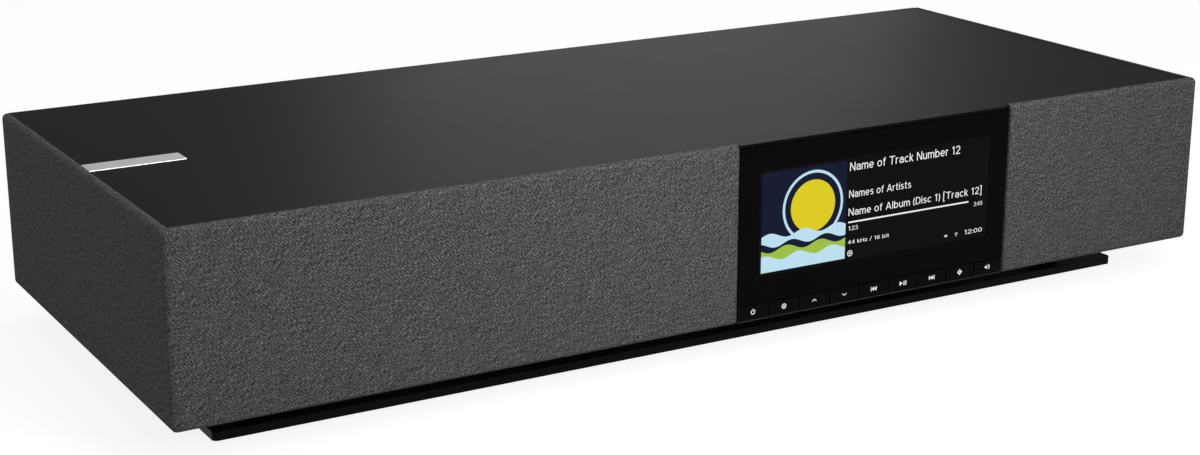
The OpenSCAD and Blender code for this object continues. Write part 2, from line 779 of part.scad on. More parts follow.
// A circuit board on four legs, with its near left corner at the origin
module board_on_legs(size) {
    box([0, 0, board_lift], [size[0], size[1], board_lift + pcb_t]);
    for (x = [bay_margin, size[0] - bay_margin], y = [bay_margin, size[1] - bay_margin])
        translate([x, y, 0]) cylinder(r = leg_r, h = board_lift + pcb_t / 2);
}

bay_x0 = divider_middle_x1 + bay_margin;
amp_y0 = main_y0 + main_size[1] + bay_margin;
supply_x0 = bay_x0 + main_size[0] + bay_margin / 2;
supply_y0 = y_carrier1 + 2 * bay_margin;
pcb_top = board_lift + pcb_t;

// Components on the top of a board, sunk a little into it
module components(blocks, cans) {
    for (b = blocks) box([b[0], b[1], pcb_top - pcb_t / 2], [b[0] + b[2], b[1] + b[3], pcb_top + b[4]]);
    for (c = cans) translate([c[0], c[1], pcb_top - pcb_t / 2]) cylinder(r = c[2], h = c[3] + pcb_t / 2);
}

// Main board: processor and radio modules under their shields, and the socket of the screen's ribbon
module main_board() {
    plug_x = console_xc - ribbon_w / 2 - bay_x0;
    color("darkgreen") translate([bay_x0, main_y0, z_floor1]) {
        board_on_legs(main_size);
        components(main_blocks, main_cans);
        components([[plug_x, bay_margin, ribbon_w, plug_d, plug_h]], []);
    }
}

// Amplifier board: a finned heat sink and filter capacitors
module amplifier_board() {
    sink = amp_blocks[0];
    fin_step = (sink[2] - fin_t) / (fin_count - 1);
    fins = [for (i = [0 : fin_count - 1]) [sink[0] + i * fin_step, sink[1], fin_t, sink[3], fin_h]];
    color("darkgreen") translate([bay_x0, amp_y0, z_floor1]) {
        board_on_legs(amp_size);
        components(amp_blocks, amp_cans);
        components(fins, []);
    }
}

// Power supply: transformer, mains filter, cooling plate and smoothing capacitors
module power_supply() {
    color("darkgreen") translate([supply_x0, supply_y0, z_floor1]) {
        board_on_legs(supply_size);
        components(supply_blocks, supply_cans);
    }
}

// Connector recess: a metal tray behind the back panel's window, with its sockets

module connector_plate() {
    w = tray_w / 2;
    h = tray_h / 2;
    color("#2a2a2c") translate([console_xc, 0, tray_z]) difference() {
        union() {
            box([-w - tray_rim, y_back0 - tray_t, -h - tray_rim], [w + tray_rim, y_back0, h + tray_rim]);
            box([-w - tray_t, y_tray0, -h - tray_t], [w + tray_t, y_back0, h + tray_t]);
        }
        box([-w, y_tray1, -h], [w, y_back0 + over, h]);
        translate([mains_x - console_xc, 0, 0])
            box([-mains_body[0] / 2 - fit, y_tray0 - over, -mains_body[1] / 2 - fit],
                [mains_body[0] / 2 + fit, y_tray1 + over, mains_body[1] / 2 + fit]);
        translate([network_x - console_xc, 0, 0])
            box([-network_size[0] / 2 - fit, y_tray0 - over, -network_size[2] / 2 - fit],
                [network_size[0] / 2 + fit, y_tray1 + over, network_size[2] / 2 + fit]);
        for (i = [0, 1]) translate([line_x - console_xc - i * line_pitch, y_tray0 - over, 0])
            rotate([-90, 0, 0]) cylinder(r = line_neck_r + fit, h = tray_t + 2 * over);
    }
}

// Two-pole mains inlet: a flanged housing with a recess of two lobes, and its pins
module mains_inlet() {
    f = mains_flange;
    y_mouth = y_tray1 + f[1];
    y_end = y_mouth - mains_recess;
    color("black") translate([mains_x, 0, tray_z]) {
        difference() {
            union() {
                box([-f[0] / 2, y_tray1, -f[2] / 2], [f[0] / 2, y_mouth, f[2] / 2]);
                box([-mains_body[0] / 2, y_end - mains_end_t, -mains_body[1] / 2],
                    [mains_body[0] / 2, y_tray1 + over, mains_body[1] / 2]);
            }
            for (s = [-1, 1]) translate([s * mains_pin_pitch / 2, y_end, 0]) rotate([-90, 0, 0])
                cylinder(r = mains_lobe_r, h = mains_recess + over);
            box([-mains_pin_pitch / 2, y_end, -mains_lobe_r],
                [mains_pin_pitch / 2, y_mouth + over, mains_lobe_r]);
        }
        for (s = [-1, 1]) translate([s * mains_pin_pitch / 2, y_end - over, 0]) rotate([-90, 0, 0])
            cylinder(r = mains_pin_r, h = mains_pin_l + over);
    }
}

// Two round line jacks: a body behind the plate, a collar on it and a barrel with a bore
module line_jacks() {
    color("gold") for (i = [0, 1]) translate([line_x - i * line_pitch, 0, tray_z]) difference() {
        union() {
            box([-line_body[0] / 2, y_tray0 - line_body[1], -line_body[2] / 2],
                [line_body[0] / 2, y_tray0, line_body[2] / 2]);
            translate([0, y_tray0 - over, 0]) rotate([-90, 0, 0])
                cylinder(r = line_neck_r, h = tray_t + 2 * over);
            translate([0, y_tray1, 0]) rotate([-90, 0, 0]) cylinder(r = line_collar_r, h = line_collar_t);
            translate([0, y_tray1, 0]) rotate([-90, 0, 0])
                cylinder(r = line_jack_r, h = line_collar_t + line_jack_l);
        }
        translate([0, y_tray1, 0]) rotate([-90, 0, 0])
            cylinder(r = line_bore_r, h = line_collar_t + line_jack_l + over);
    }
}

module network_jack() {
    s = network_size;
    m = network_mouth;
    y_mouth = y_tray1 + network_stand;
    color("silver") translate([network_x, 0, tray_z]) difference() {
        box([-s[0] / 2, y_mouth - s[1], -s[2] / 2], [s[0] / 2, y_mouth, s[2] / 2]);
        box([-m[0] / 2, y_mouth - m[1], -m[2] / 2], [m[0] / 2, y_mouth + over, m[2] / 2]);
    }
}

// Base

// Axes of the four spacers
module spacer_places() {
    for (x = [-1, 1], y = [-1, 1]) translate([x * spacer_x, y * spacer_y, 0]) children();
}

module base_plate() {
    color("#101010") difference() {
        translate([0, 0, foot_h]) linear_extrude(plate_t) round_rect(2 * base_x, 2 * base_y, base_corner_r);
        spacer_places() {
            translate([0, 0, foot_h - over]) cylinder(r = base_screw_r + fit, h = plate_t + 2 * over);
            translate([0, 0, foot_h - over]) cylinder(r = base_head_r + fit, h = base_head_h + over);
        }
    }
}

module base_spacers() {
    color("#181818") spacer_places() translate([0, 0, foot_h + plate_t]) difference() {
        cylinder(r = spacer_r, h = base_gap);
        translate([0, 0, -over]) cylinder(r = base_screw_r + fit, h = base_gap + 2 * over);
    }
}

module rubber_feet() {
    color("black") for (x = [-1, 1], y = [-1, 1]) translate([x * foot_x, y * spacer_y, 0])
        cylinder(r = foot_r, h = foot_h);
}

// Fasteners

module base_screws() {
    length = plate_t - base_head_h + base_gap + screw_bite;
    color("gray") spacer_places() translate([0, 0, foot_h + base_head_h])
        screw(base_screw_r, base_head_r, base_head_h, length);
}

module driver_screws() {
    length = flange_t + screw_bite;
    color("gray") {
        for (side = [-1, 1]) {
            on_baffle(side * woofer_x) on_circle(woofer_screws, woofer_screw_r)
                translate([0, 0, -flange_t]) screw(screw_r, screw_head_r, screw_head_h, length);
            on_baffle(side * tweeter_x) on_circle(tweeter_screws, tweeter_screw_r)
                translate([0, 0, -flange_t]) screw(screw_r, screw_head_r, screw_head_h, length);
        }
        on_floor() on_circle(sub_screws, sub_screw_r) translate([0, 0, -flange_t])
            screw(screw_r, screw_head_r, screw_head_h, length);
    }
}

module back_screws() {
    length = back_t - screw_head_h + screw_bite;
    color("gray") back_screw_places() screw(screw_r, screw_head_r, screw_head_h, length);
}

cabinet_floor();
side_board(-1);  // left_side_board
side_board(1);  // right_side_board
baffle(-x_room, console_x0 - reveal, -1);  // baffle_left
baffle(console_x1 + reveal, x_room, 1);  // baffle_right
back_panel();
divider(divider_left_x0, divider_left_x1);  // divider_left
divider(divider_middle_x0, divider_middle_x1);  // divider_middle
divider(divider_right_x0, divider_right_x1);  // divider_right
grille_frame(-half_w, console_x0 - reveal, -1);  // grille_frame_left
grille_cloth(-half_w, console_x0 - reveal, -1);  // grille_cloth_left
grille_frame(console_x1 + reveal, half_w, 1);  // grille_frame_right
grille_cloth(console_x1 + reveal, half_w, 1);  // grille_cloth_right
top_plate();
badge();
console_carrier();
front_glass();
screen_panel();
screen_ribbon();
key_board();
key_switches();
for (i = [0 : key_count - 1]) key(i);
woofer_basket(-1);  // woofer_left_basket
woofer_motor(-1);  // woofer_left_motor
woofer_cone(-1);  // woofer_left_cone
woofer_suspension(-1);  // woofer_left_suspension
woofer_basket(1);  // woofer_right_basket
woofer_motor(1);  // woofer_right_motor
woofer_cone(1);  // woofer_right_cone
woofer_suspension(1);  // woofer_right_suspension
subwoofer_basket();
subwoofer_motor();
subwoofer_cone();
subwoofer_suspension();
tweeter(-1);  // tweeter_left
tweeter_dome(-1);  // tweeter_left_dome
tweeter(1);  // tweeter_right
tweeter_dome(1);  // tweeter_right_dome
main_board();
amplifier_board();
power_supply();
connector_plate();
mains_inlet();
line_jacks();
network_jack();
base_plate();
base_spacers();
rubber_feet();
base_screws();
driver_screws();
back_screws();
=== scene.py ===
"""Looks of an all-in-one stereo system: fabric, glass, screen, keys, finishes, light and camera."""

import json
import math

import bmesh
import bpy
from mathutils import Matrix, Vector


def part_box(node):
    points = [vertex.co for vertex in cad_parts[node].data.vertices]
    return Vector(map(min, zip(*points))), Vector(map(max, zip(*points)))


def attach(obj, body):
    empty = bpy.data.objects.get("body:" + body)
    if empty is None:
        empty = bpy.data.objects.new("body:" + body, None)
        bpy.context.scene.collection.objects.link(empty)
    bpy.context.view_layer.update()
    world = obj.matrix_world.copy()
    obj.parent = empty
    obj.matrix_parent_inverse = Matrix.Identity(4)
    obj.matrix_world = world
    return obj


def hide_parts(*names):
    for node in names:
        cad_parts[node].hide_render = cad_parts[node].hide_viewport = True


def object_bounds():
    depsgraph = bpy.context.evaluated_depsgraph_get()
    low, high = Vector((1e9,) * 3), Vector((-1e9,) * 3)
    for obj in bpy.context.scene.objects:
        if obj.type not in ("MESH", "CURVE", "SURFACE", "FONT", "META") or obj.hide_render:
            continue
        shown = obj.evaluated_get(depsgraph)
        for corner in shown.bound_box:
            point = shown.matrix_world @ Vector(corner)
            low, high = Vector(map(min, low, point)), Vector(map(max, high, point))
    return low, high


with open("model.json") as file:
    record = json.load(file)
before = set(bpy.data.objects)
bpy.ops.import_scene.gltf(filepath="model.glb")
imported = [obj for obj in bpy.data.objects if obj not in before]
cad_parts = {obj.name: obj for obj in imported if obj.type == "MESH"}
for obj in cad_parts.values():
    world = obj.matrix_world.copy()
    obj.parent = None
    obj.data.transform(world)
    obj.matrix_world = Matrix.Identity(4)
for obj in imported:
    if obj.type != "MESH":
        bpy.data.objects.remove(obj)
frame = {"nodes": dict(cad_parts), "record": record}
cad_low, cad_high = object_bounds()

MM = 0.001

# Camera, in metres and degrees, for a picture of 1200 by 455
CAMERA_PLACE = (-0.6366, -1.0725, 0.4099)
CAMERA_TILT = 73.61
CAMERA_TURN = -30.14
CAMERA_LENS = 64.7

# Light. A level of 1 lights a surface that faces a lamp to its own colour
WORLD_LEVEL = 0.15
HORIZON_LEVEL = 0.9
HORIZON_ENDS = (0.02, 0.16)
FLOOR_SIZE = 80.0
FLOOR_COLOUR = (0.26, 0.26, 0.26, 1)
FLOOR_SEEN_COLOUR = (0.3, 0.3, 0.3, 1)
FLOOR_SEEN_GLOW = 0.86

# Lamps: name, place, what they aim at, side, level
LAMPS = [
    ("key_light", (0.0, -0.66, 0.42), (0.0, -0.137, 0.075), 0.45, 0.92),
    ("left_light", (-2.2, -0.2, 0.7), (-0.33, 0.0, 0.075), 1.2, 0.12),
    ("right_light", (2.2, -0.2, 0.7), (0.33, 0.0, 0.075), 1.2, 0.12),
    ("top_light", (-0.2, 0.2, 2.2), (0.0, 0.0, 0.12), 1.4, 0.25),
    ("back_light", (1.58, 2.6, 0.97), (0.1, 0.05, 0.12), 1.15, 0.055),
]

# Fabric covers
EDGE_R = 3 * MM
CLOTH_T = 0.7 * MM
FOLD = 0.4 * MM
ARC_STEPS = 8
COLUMN_STEP = 20 * MM
CREASE_ANGLE = 60
WEAVE_MAP = "weave"

# Weave, with lengths in mm. Shades and shares multiply its colour, and the shades are painted shade: in the
# valleys between ribs and on the tucked-in ends.
# Ribs slant across the cloth, and floats, yarns and fibres run along them
RIB_W = 2.0
RIB_DEPTH = 0.2
RIB_SHADE = 0.37
FLOAT_L = 1.8
YARN_W = 0.8
YARN_L = 2.4
YARN_TONES = [
    (0.28, (0.055, 0.053, 0.056, 1)),
    (0.50, (0.122, 0.117, 0.124, 1)),
    (0.72, (0.252, 0.241, 0.256, 1)),
]
FIBRE_W = 0.14
FIBRE_L = 0.84
FIBRE_SHARE = 0.25
MOTTLE_W = 7.0
MOTTLE_H = 2.0
MOTTLE_SHARE = 0.2
CLOUD = 14
CLOUD_SHARE = 0.06
TUCK_SHADE = 0.35

# Edges with a colour of their own, in mm: painted shade that blackens the top plate's cut edges, the polish
# on the badge's edge, and a painted highlight along the keys' lower edges
TOP_SHADED_EDGE = 0.4
BADGE_EDGE = 0.05
KEY_HIGHLIGHT_EDGE = 0.5
KEY_HIGHLIGHT_BLUR = 0.25

# Softened edges, in mm, and the angles in degrees that tell a sharp edge and a flat one
KEY_SOFT_EDGE = 0.45
SOFT_EDGES = {
    "top_plate": 0.25,
    "badge": 0.38,
    "front_glass": 0.2,
    "base_plate": 0.5,
    "back_panel": 0.3,
    "connector_plate": 0.3,
    "mains_inlet": 0.3,
    "network_jack": 0.3,
    "line_jacks": 0.3,
}
SOFT_STEPS = 2
SHARP_ANGLE = 40
FLAT_ANGLE = 0.5

# Points this near are one point
MERGE = 0.001 * MM
CLEAN_MERGE = 0.002 * MM

# Screen and signs. What is lit or printed stands a little proud of its face
SCREEN_RIM = 4 * MM
SLAB_PROUD = 0.03 * MM
SLAB_SUNK = 0.03 * MM
LAYER = 0.01 * MM
SIGN_LIFT = 0.35 * MM
SIGN_SCALE = 1.05 * MM
LIT_COLOURS = {
    "white": (0.86, 0.87, 0.88, 1),
    "yellow": (0.72, 0.60, 0.015, 1),
    "ice": (0.50, 0.74, 0.86, 1),
    "lime": (0.34, 0.52, 0.06, 1),
    "navy": (0.006, 0.009, 0.028, 1),
    "glow": (0.0024, 0.0024, 0.0027, 1),
}


# Camera and light

def make_camera():
    camera = bpy.data.cameras.new("camera")
    camera.lens = CAMERA_LENS
    camera.sensor_fit = "HORIZONTAL"
    holder = bpy.data.objects.new("camera", camera)
    holder.location = CAMERA_PLACE
    holder.rotation_euler = (math.radians(CAMERA_TILT), 0, math.radians(CAMERA_TURN))
    bpy.context.scene.collection.objects.link(holder)
    bpy.context.scene.camera = holder


def softbox(name, place, aim, size, level):
    """A square lamp that lights a surface facing it at aim to that level."""
    reach = Vector(aim) - Vector(place)
    lamp = bpy.data.lights.new(name, "AREA")
    lamp.shape = "SQUARE"
    lamp.size = size
    lamp.energy = math.pi ** 2 * reach.length_squared * level
    holder = bpy.data.objects.new(name, lamp)
    holder.location = place
    holder.rotation_euler = reach.to_track_quat("-Z", "Y").to_euler()
    holder.visible_camera = False
    bpy.context.scene.collection.objects.link(holder)


def make_world():
    """Soft studio surroundings: pale at the horizon, dimmer above it."""
    world = bpy.data.worlds.new("studio")
    world.use_nodes = True
    nodes = world.node_tree.nodes
    links = world.node_tree.links
    coordinates = nodes.new("ShaderNodeTexCoord")
    split = nodes.new("ShaderNodeSeparateXYZ")
    links.new(coordinates.outputs["Generated"], split.inputs[0])
    height = nodes.new("ShaderNodeMapRange")
    height.interpolation_type = "SMOOTHSTEP"
    height.inputs["From Min"].default_value = HORIZON_ENDS[0]
    height.inputs["From Max"].default_value = HORIZON_ENDS[1]
    height.inputs["To Min"].default_value = HORIZON_LEVEL
    height.inputs["To Max"].default_value = WORLD_LEVEL
    links.new(split.outputs["Z"], height.inputs["Value"])
    links.new(height.outputs["Result"], nodes["Background"].inputs["Strength"])
    nodes["Background"].inputs["Color"].default_value = (1, 1, 1, 1)
    bpy.context.scene.world = world


def make_floor():
    """A pale floor that the camera and mirrors see as white, with the object's shadow on it."""
    mesh = bpy.data.meshes.new("floor")
    half = FLOOR_SIZE / 2
    corners = [(-half, -half, 0), (half, -half, 0), (half, half, 0), (-half, half, 0)]
    mesh.from_pydata(corners, [], [(0, 1, 2, 3)])
    material = bpy.data.materials.new("floor")
    material.use_nodes = True
    nodes = material.node_tree.nodes
    links = material.node_tree.links
    nodes.remove(nodes["Principled BSDF"])
    plain = nodes.new("ShaderNodeBsdfDiffuse")
    plain.inputs["Color"].default_value = FLOOR_COLOUR
    shaded = nodes.new("ShaderNodeBsdfDiffuse")
    shaded.inputs["Color"].default_value = FLOOR_SEEN_COLOUR
    glow = nodes.new("ShaderNodeEmission")
    glow.inputs["Strength"].default_value = FLOOR_SEEN_GLOW
    seen = nodes.new("ShaderNodeAddShader")
    links.new(shaded.outputs[0], seen.inputs[0])
    links.new(glow.outputs[0], seen.inputs[1])
    path = nodes.new("ShaderNodeLightPath")
    mirrors = nodes.new("ShaderNodeMath")
    mirrors.operation = "MAXIMUM"
    links.new(path.outputs["Is Glossy Ray"], mirrors.inputs[0])
    links.new(path.outputs["Is Transmission Ray"], mirrors.inputs[1])
    sight = nodes.new("ShaderNodeMath")
    sight.operation = "MAXIMUM"
    links.new(path.outputs["Is Camera Ray"], sight.inputs[0])
    links.new(mirrors.outputs[0], sight.inputs[1])
    choice = nodes.new("ShaderNodeMixShader")
    links.new(sight.outputs[0], choice.inputs[0])
    links.new(plain.outputs[0], choice.inputs[1])
    links.new(seen.outputs[0], choice.inputs[2])
    links.new(choice.outputs[0], nodes["Material Output"].inputs["Surface"])
    mesh.materials.append(material)
    floor = bpy.data.objects.new("floor", mesh)
    bpy.context.scene.collection.objects.link(floor)


# Materials

# Most of a noise lies in this range
NOISE_LOW = 0.3
NOISE_HIGH = 0.7


def grey(level):
    return (level, level, level, 1)


def scaled(colour, factor):
    return tuple(channel * factor for channel in colour[:3]) + (1,)


class Finish:
    """One material: a Principled surface and short calls for the nodes that feed it. Lengths are in mm."""

    def __init__(self, name, **sockets):
        self.material = bpy.data.materials.new(name)
        self.material.use_nodes = True
        self.nodes = self.material.node_tree.nodes
        self.links = self.material.node_tree.links
        self.surface = self.nodes["Principled BSDF"]
        for socket, value in sockets.items():
            self.feed(socket.replace("_", " "), value)

    def put(self, socket, value):
        """Sets a socket, or links it where the value is another node's output."""
        if isinstance(value, bpy.types.NodeSocket):
            self.links.new(value, socket)
        else:
            socket.default_value = value

    def feed(self, name, value):
        self.put(self.surface.inputs[name], value)

    def add(self, kind, inputs, output=0, **settings):
        """A new node with those inputs, given by name or number, and one of its outputs."""
        node = self.nodes.new("ShaderNode" + kind)
        for name, value in settings.items():
            setattr(node, name, value)
        for name, value in inputs.items():
            self.put(node.inputs[name], value)
        return node.outputs[output]

    def math(self, operation, first, second=0.0):
        return self.add("Math", {0: first, 1: second}, operation=operation)

    def place(self):
        """The point's place on the object, in mm."""
        spot = self.add("TexCoord", {}, "Object")
        return self.add("VectorMath", {0: spot, "Scale": 1 / MM}, operation="SCALE")

    def split(self, vector):
        """The X, Y and Z of a vector."""
        node = self.nodes.new("ShaderNodeSeparateXYZ")
        self.links.new(vector, node.inputs[0])
        return tuple(node.outputs)

    def height(self):
        return self.split(self.place())[2]

    def stretched(self, scale):
        """That place with each axis scaled."""
        return self.add("VectorMath", {0: self.place(), 1: scale}, operation="MULTIPLY")

    def counted(self, x, y, width, height):
        """A place on a sheet, counted in widths and heights."""
        column = self.math("DIVIDE", x, width)
        row = self.math("DIVIDE", y, height)
        return self.add("CombineXYZ", {"X": column, "Y": row})

    def noise(self, size=1.0, detail=2.0, vector=None):
        """Noise whose patches are about that size."""
        inputs = {"Vector": vector or self.place(), "Scale": 1 / size, "Detail": detail}
        return self.add("TexNoise", inputs)

    def cells(self, size):
        """Distance to the middle of cells of about that size."""
        return self.add("TexVoronoi", {"Vector": self.place(), "Scale": 1 / size}, "Distance")

    def bricks(self, scale, mortar, **settings):
        """Where the joints of a brick pattern are."""
        inputs = {"Vector": self.place(), "Scale": scale, "Mortar Size": mortar}
        return self.add("TexBrick", inputs, "Fac", **settings)

    def span(self, value, low, high, start=NOISE_LOW, end=NOISE_HIGH):
        """A number from low to high, while the value goes from start to end."""
        inputs = {"Value": value, "From Min": start, "From Max": end, "To Min": low, "To Max": high}
        return self.add("MapRange", inputs, clamp=True)

    def tones(self, value, *stops):
        """A colour ramp: stops of (place, colour)."""
        node = self.nodes.new("ShaderNodeValToRGB")
        ramp = node.color_ramp
        while len(ramp.elements) < len(stops):
            ramp.elements.new(0.5)
        for element, (spot, colour) in zip(ramp.elements, stops):
            element.position = spot
            element.color = colour
        self.links.new(value, node.inputs[0])
        return node.outputs[0]

    def shades(self, value, first, second, start=NOISE_LOW, end=NOISE_HIGH):
        """A colour from first to second, while the value goes from start to end."""
        return self.tones(value, (start, first), (end, second))

    def around(self, value, colour, share):
        """A colour that is up to that share darker or paler."""
        return self.shades(value, scaled(colour, 1 - share), scaled(colour, 1 + share))

    def mix(self, share, first, second, blend="MIX"):
        """Two colours mixed, or one multiplied by the other."""
        node = self.nodes.new("ShaderNodeMix")
        node.data_type = "RGBA"
        node.blend_type = blend
        self.put(node.inputs[0], share)
        self.put(node.inputs[6], first)
        self.put(node.inputs[7], second)
        return node.outputs[2]

    def relief(self, height, depth, strength=1.0):
        """Bumps of that depth."""
        inputs = {"Height": height, "Distance": depth * MM, "Strength": strength}
        self.feed("Normal", self.add("Bump", inputs))


def cloth():
    """Charcoal melange twill: slanting ribs of lighter and darker yarn, with painted shade in the valleys
    between ribs and on the tucked-in ends.
    """
    paint = Finish("cloth", Roughness=0.95, Specular_IOR_Level=0.08, Sheen_Weight=0.04, Sheen_Roughness=0.6)
    spot = paint.add("UVMap", {}, uv_map=WEAVE_MAP)
    across, up, _ = paint.split(spot)
    over = paint.math("ADD", across, up)
    along = paint.math("SUBTRACT", across, up)

    # The floats of a rib lie half a float beside those of the next rib
    rib_turn = paint.math("MULTIPLY", over, 2 * math.pi / RIB_W)
    float_turn = paint.math("MULTIPLY", along, 2 * math.pi / FLOAT_L)
    stagger = paint.math("ADD", float_turn, paint.math("DIVIDE", rib_turn, 2))
    waves = paint.math("ADD", paint.math("SINE", rib_turn), paint.math("SINE", stagger))
    ribs = paint.span(waves, 0, 1, start=-2, end=2)
    # Painted shade: the cloth is darker in the valleys between ribs, from the same waves that raise its bumps
    shade = paint.shades(ribs, grey(RIB_SHADE), grey(1), start=0, end=1)

    # The ends that are tucked in beside the console are dark: painted shade, reaching about 1 mm onto the
    # face
    face_from = (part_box("baffle_left")[0].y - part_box("grille_cloth_left")[0].y) / MM
    tuck_shade_mask = paint.span(paint.math("ABSOLUTE", across), 0, 1, face_from - FOLD / MM, face_from + 1)
    tuck_painted_shade = paint.shades(tuck_shade_mask, grey(TUCK_SHADE), grey(1), start=0, end=1)

    yarns = paint.noise(detail=0, vector=paint.counted(over, along, YARN_W, YARN_L))
    fibres = paint.noise(detail=1, vector=paint.counted(over, along, FIBRE_W, FIBRE_L))
    specks = paint.noise(detail=2, vector=paint.counted(across, up, MOTTLE_W, MOTTLE_H))
    clouds = paint.noise(CLOUD, detail=3, vector=spot)
    fibre_tone = paint.around(fibres, grey(1), FIBRE_SHARE)
    mottle = paint.around(specks, grey(1), MOTTLE_SHARE)
    cloudy = paint.around(clouds, grey(1), CLOUD_SHARE)
    colour = paint.tones(yarns, *YARN_TONES)
    for factor in (shade, tuck_painted_shade, fibre_tone, mottle, cloudy):
        colour = paint.mix(1.0, colour, factor, "MULTIPLY")
    paint.feed("Base Color", colour)
    paint.relief(ribs, RIB_DEPTH)
    return paint.material


def coated_metal(name, colour, rough, shine, grain=0.5, depth=0.02):
    """Powder-coated metal: a fine orange-peel skin with a little wear in its gloss."""
    wear = 0.04
    paint = Finish(name, Specular_IOR_Level=shine)
    patches = paint.noise(size=60, detail=3)
    paint.feed("Base Color", paint.around(patches, colour, share=0.1))
    paint.feed("Roughness", paint.span(patches, rough - wear, rough + wear))
    paint.relief(paint.noise(grain, detail=3), depth, strength=0.6)
    return paint.material


def top_metal():
    """Satin dark sheet, with painted shade that makes its cut edges black."""
    paint = Finish("top_metal", Specular_IOR_Level=0.036)
    face_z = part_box("top_plate")[1].z / MM
    # Painted shade: the cut edges below the top face are black
    face = paint.span(paint.height(), 0, 1, face_z - TOP_SHADED_EDGE, face_z - TOP_SHADED_EDGE / 2)
    patches = paint.noise(size=60, detail=3)
    tone = paint.shades(patches, grey(0.0095), grey(0.0115))
    paint.feed("Base Color", paint.mix(face, grey(0.001), tone))
    paint.feed("Roughness", paint.span(patches, 0.412, 0.428))
    paint.relief(paint.noise(size=0.4, detail=3), depth=0.001, strength=0.6)
    return paint.material


# Bare metal: the stretch that lays its lines along X, their size, and the range that most of them lie in
ALONG_X = (0.03, 1, 1)
LINE_W = 0.25
LINE_ENDS = (0.25, 0.75)


def badge_metal():
    """Blasted pale metal with polished edges."""
    paint = Finish("badge_metal")
    lines = paint.noise(LINE_W, detail=4, vector=paint.stretched(ALONG_X))
    face_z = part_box("badge")[1].z / MM
    edge = paint.span(paint.height(), 1, 0, face_z - BADGE_EDGE, face_z)
    face = paint.shades(lines, (0.74, 0.74, 0.77, 1), (0.91, 0.91, 0.95, 1), *LINE_ENDS)
    paint.feed("Base Color", paint.mix(edge, face, grey(0.97)))
    paint.feed("Metallic", paint.span(edge, 0.4, 1.0, start=0, end=1))
    matt = paint.span(lines, 0.44, 0.58)
    polish = paint.span(edge, 1.0, 0.5, start=0, end=1)
    paint.feed("Roughness", paint.math("MULTIPLY", matt, polish))
    paint.relief(lines, depth=0.006, strength=0.7)
    return paint.material


def bare_metal(name, colour, rough, brush=(1, 1, 1)):
    """Bare, blasted or plated metal. Brush stretches the lines of its grain along an axis."""
    paint = Finish(name, Metallic=1.0)
    lines = paint.noise(LINE_W, detail=4, vector=paint.stretched(brush))
    paint.feed("Base Color", paint.shades(lines, scaled(colour, 0.86), scaled(colour, 1.06), *LINE_ENDS))
    paint.feed("Roughness", paint.span(lines, rough - 0.06, rough + 0.08))
    paint.relief(lines, depth=0.006, strength=0.7)
    return paint.material


def plastic(name, colour, rough):
    """Moulded plastic with a spark-eroded grain."""
    paint = Finish(name, Specular_IOR_Level=0.3)
    paint.feed("Base Color", paint.around(paint.noise(size=14, detail=3), colour, share=0.1))
    paint.feed("Roughness", paint.span(paint.noise(size=4), rough - 0.03, rough + 0.05))
    paint.relief(paint.cells(size=0.35), depth=0.015, strength=0.5)
    return paint.material


def key_plastic():
    """Black plastic, with a painted highlight along the keys' lower edges."""
    paint = Finish("key_plastic", Specular_IOR_Level=0.02)
    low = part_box("key_power")[0].z / MM
    # Painted highlight: a paler band along each key's lower edge
    edge_highlight = paint.span(paint.height(), 1, 0, low + KEY_HIGHLIGHT_EDGE, low + KEY_HIGHLIGHT_EDGE + KEY_HIGHLIGHT_BLUR)
    face = paint.shades(paint.noise(size=14, detail=3), grey(0.0025), grey(0.0031))
    paint.feed("Base Color", paint.mix(edge_highlight, face, grey(0.05)))
    paint.feed("Roughness", paint.span(paint.noise(size=4), 0.31, 0.39))
    paint.relief(paint.cells(size=0.3), depth=0.004, strength=0.5)
    return paint.material


def key_print():
    """White paint on the keys, lit a little from behind."""
    white = LIT_COLOURS["white"]
    paint = Finish("key_print", Emission_Color=white, Emission_Strength=0.25, Specular_IOR_Level=0.2)
    paint.feed("Base Color", paint.shades(paint.noise(size=0.5, detail=3), grey(0.70), grey(0.82)))
    paint.feed("Roughness", paint.span(paint.noise(size=2), 0.4, 0.5))
    return paint.material


def rubber(name, colour, rough):
    """Dull rubber with a dusty bloom."""
    paint = Finish(name, Specular_IOR_Level=0.25)
    bloom = paint.noise(size=6, detail=4)
    paint.feed("Base Color", paint.shades(bloom, colour, scaled(colour, 1.5), end=0.75))
    paint.feed("Roughness", paint.span(bloom, rough - 0.05, rough + 0.05))
    paint.relief(paint.noise(size=0.6), depth=0.02, strength=0.6)
    return paint.material


def board_wood():
    """Fibreboard stained black, with its pressed fibres."""
    paint = Finish("board_wood", Specular_IOR_Level=0.2)
    fibres = paint.noise(size=0.9, detail=6)
    dark, pale = (0.012, 0.011, 0.011, 1), (0.04, 0.037, 0.034, 1)
    paint.feed("Base Color", paint.shades(fibres, dark, pale, end=0.72))
    paint.feed("Roughness", paint.span(paint.noise(size=11, detail=3), 0.68, 0.82))
    paint.relief(fibres, depth=0.05, strength=0.7)
    return paint.material


def back_black():
    """Black laminate with a fine leather grain."""
    paint = Finish("back_black", Specular_IOR_Level=0.3)
    grain = paint.cells(size=0.9)
    paint.feed("Base Color", paint.shades(paint.noise(size=20, detail=4), grey(0.011), grey(0.018)))
    paint.feed("Roughness", paint.span(grain, 0.48, 0.62, start=0.1))
    paint.relief(grain, depth=0.06, strength=0.7)
    return paint.material


def behind_glass(name, **sockets):
    """Wiped glass with an anti-reflection coat over a black print, and what else its sockets hold."""
    paint = Finish(name, Specular_IOR_Level=0.025, **sockets)
    paint.feed("Base Color", paint.around(paint.noise(size=30), grey(0.001), share=0.2))
    paint.feed("Roughness", paint.span(paint.noise(size=18, detail=4), 0.025, 0.06))
    return paint.material


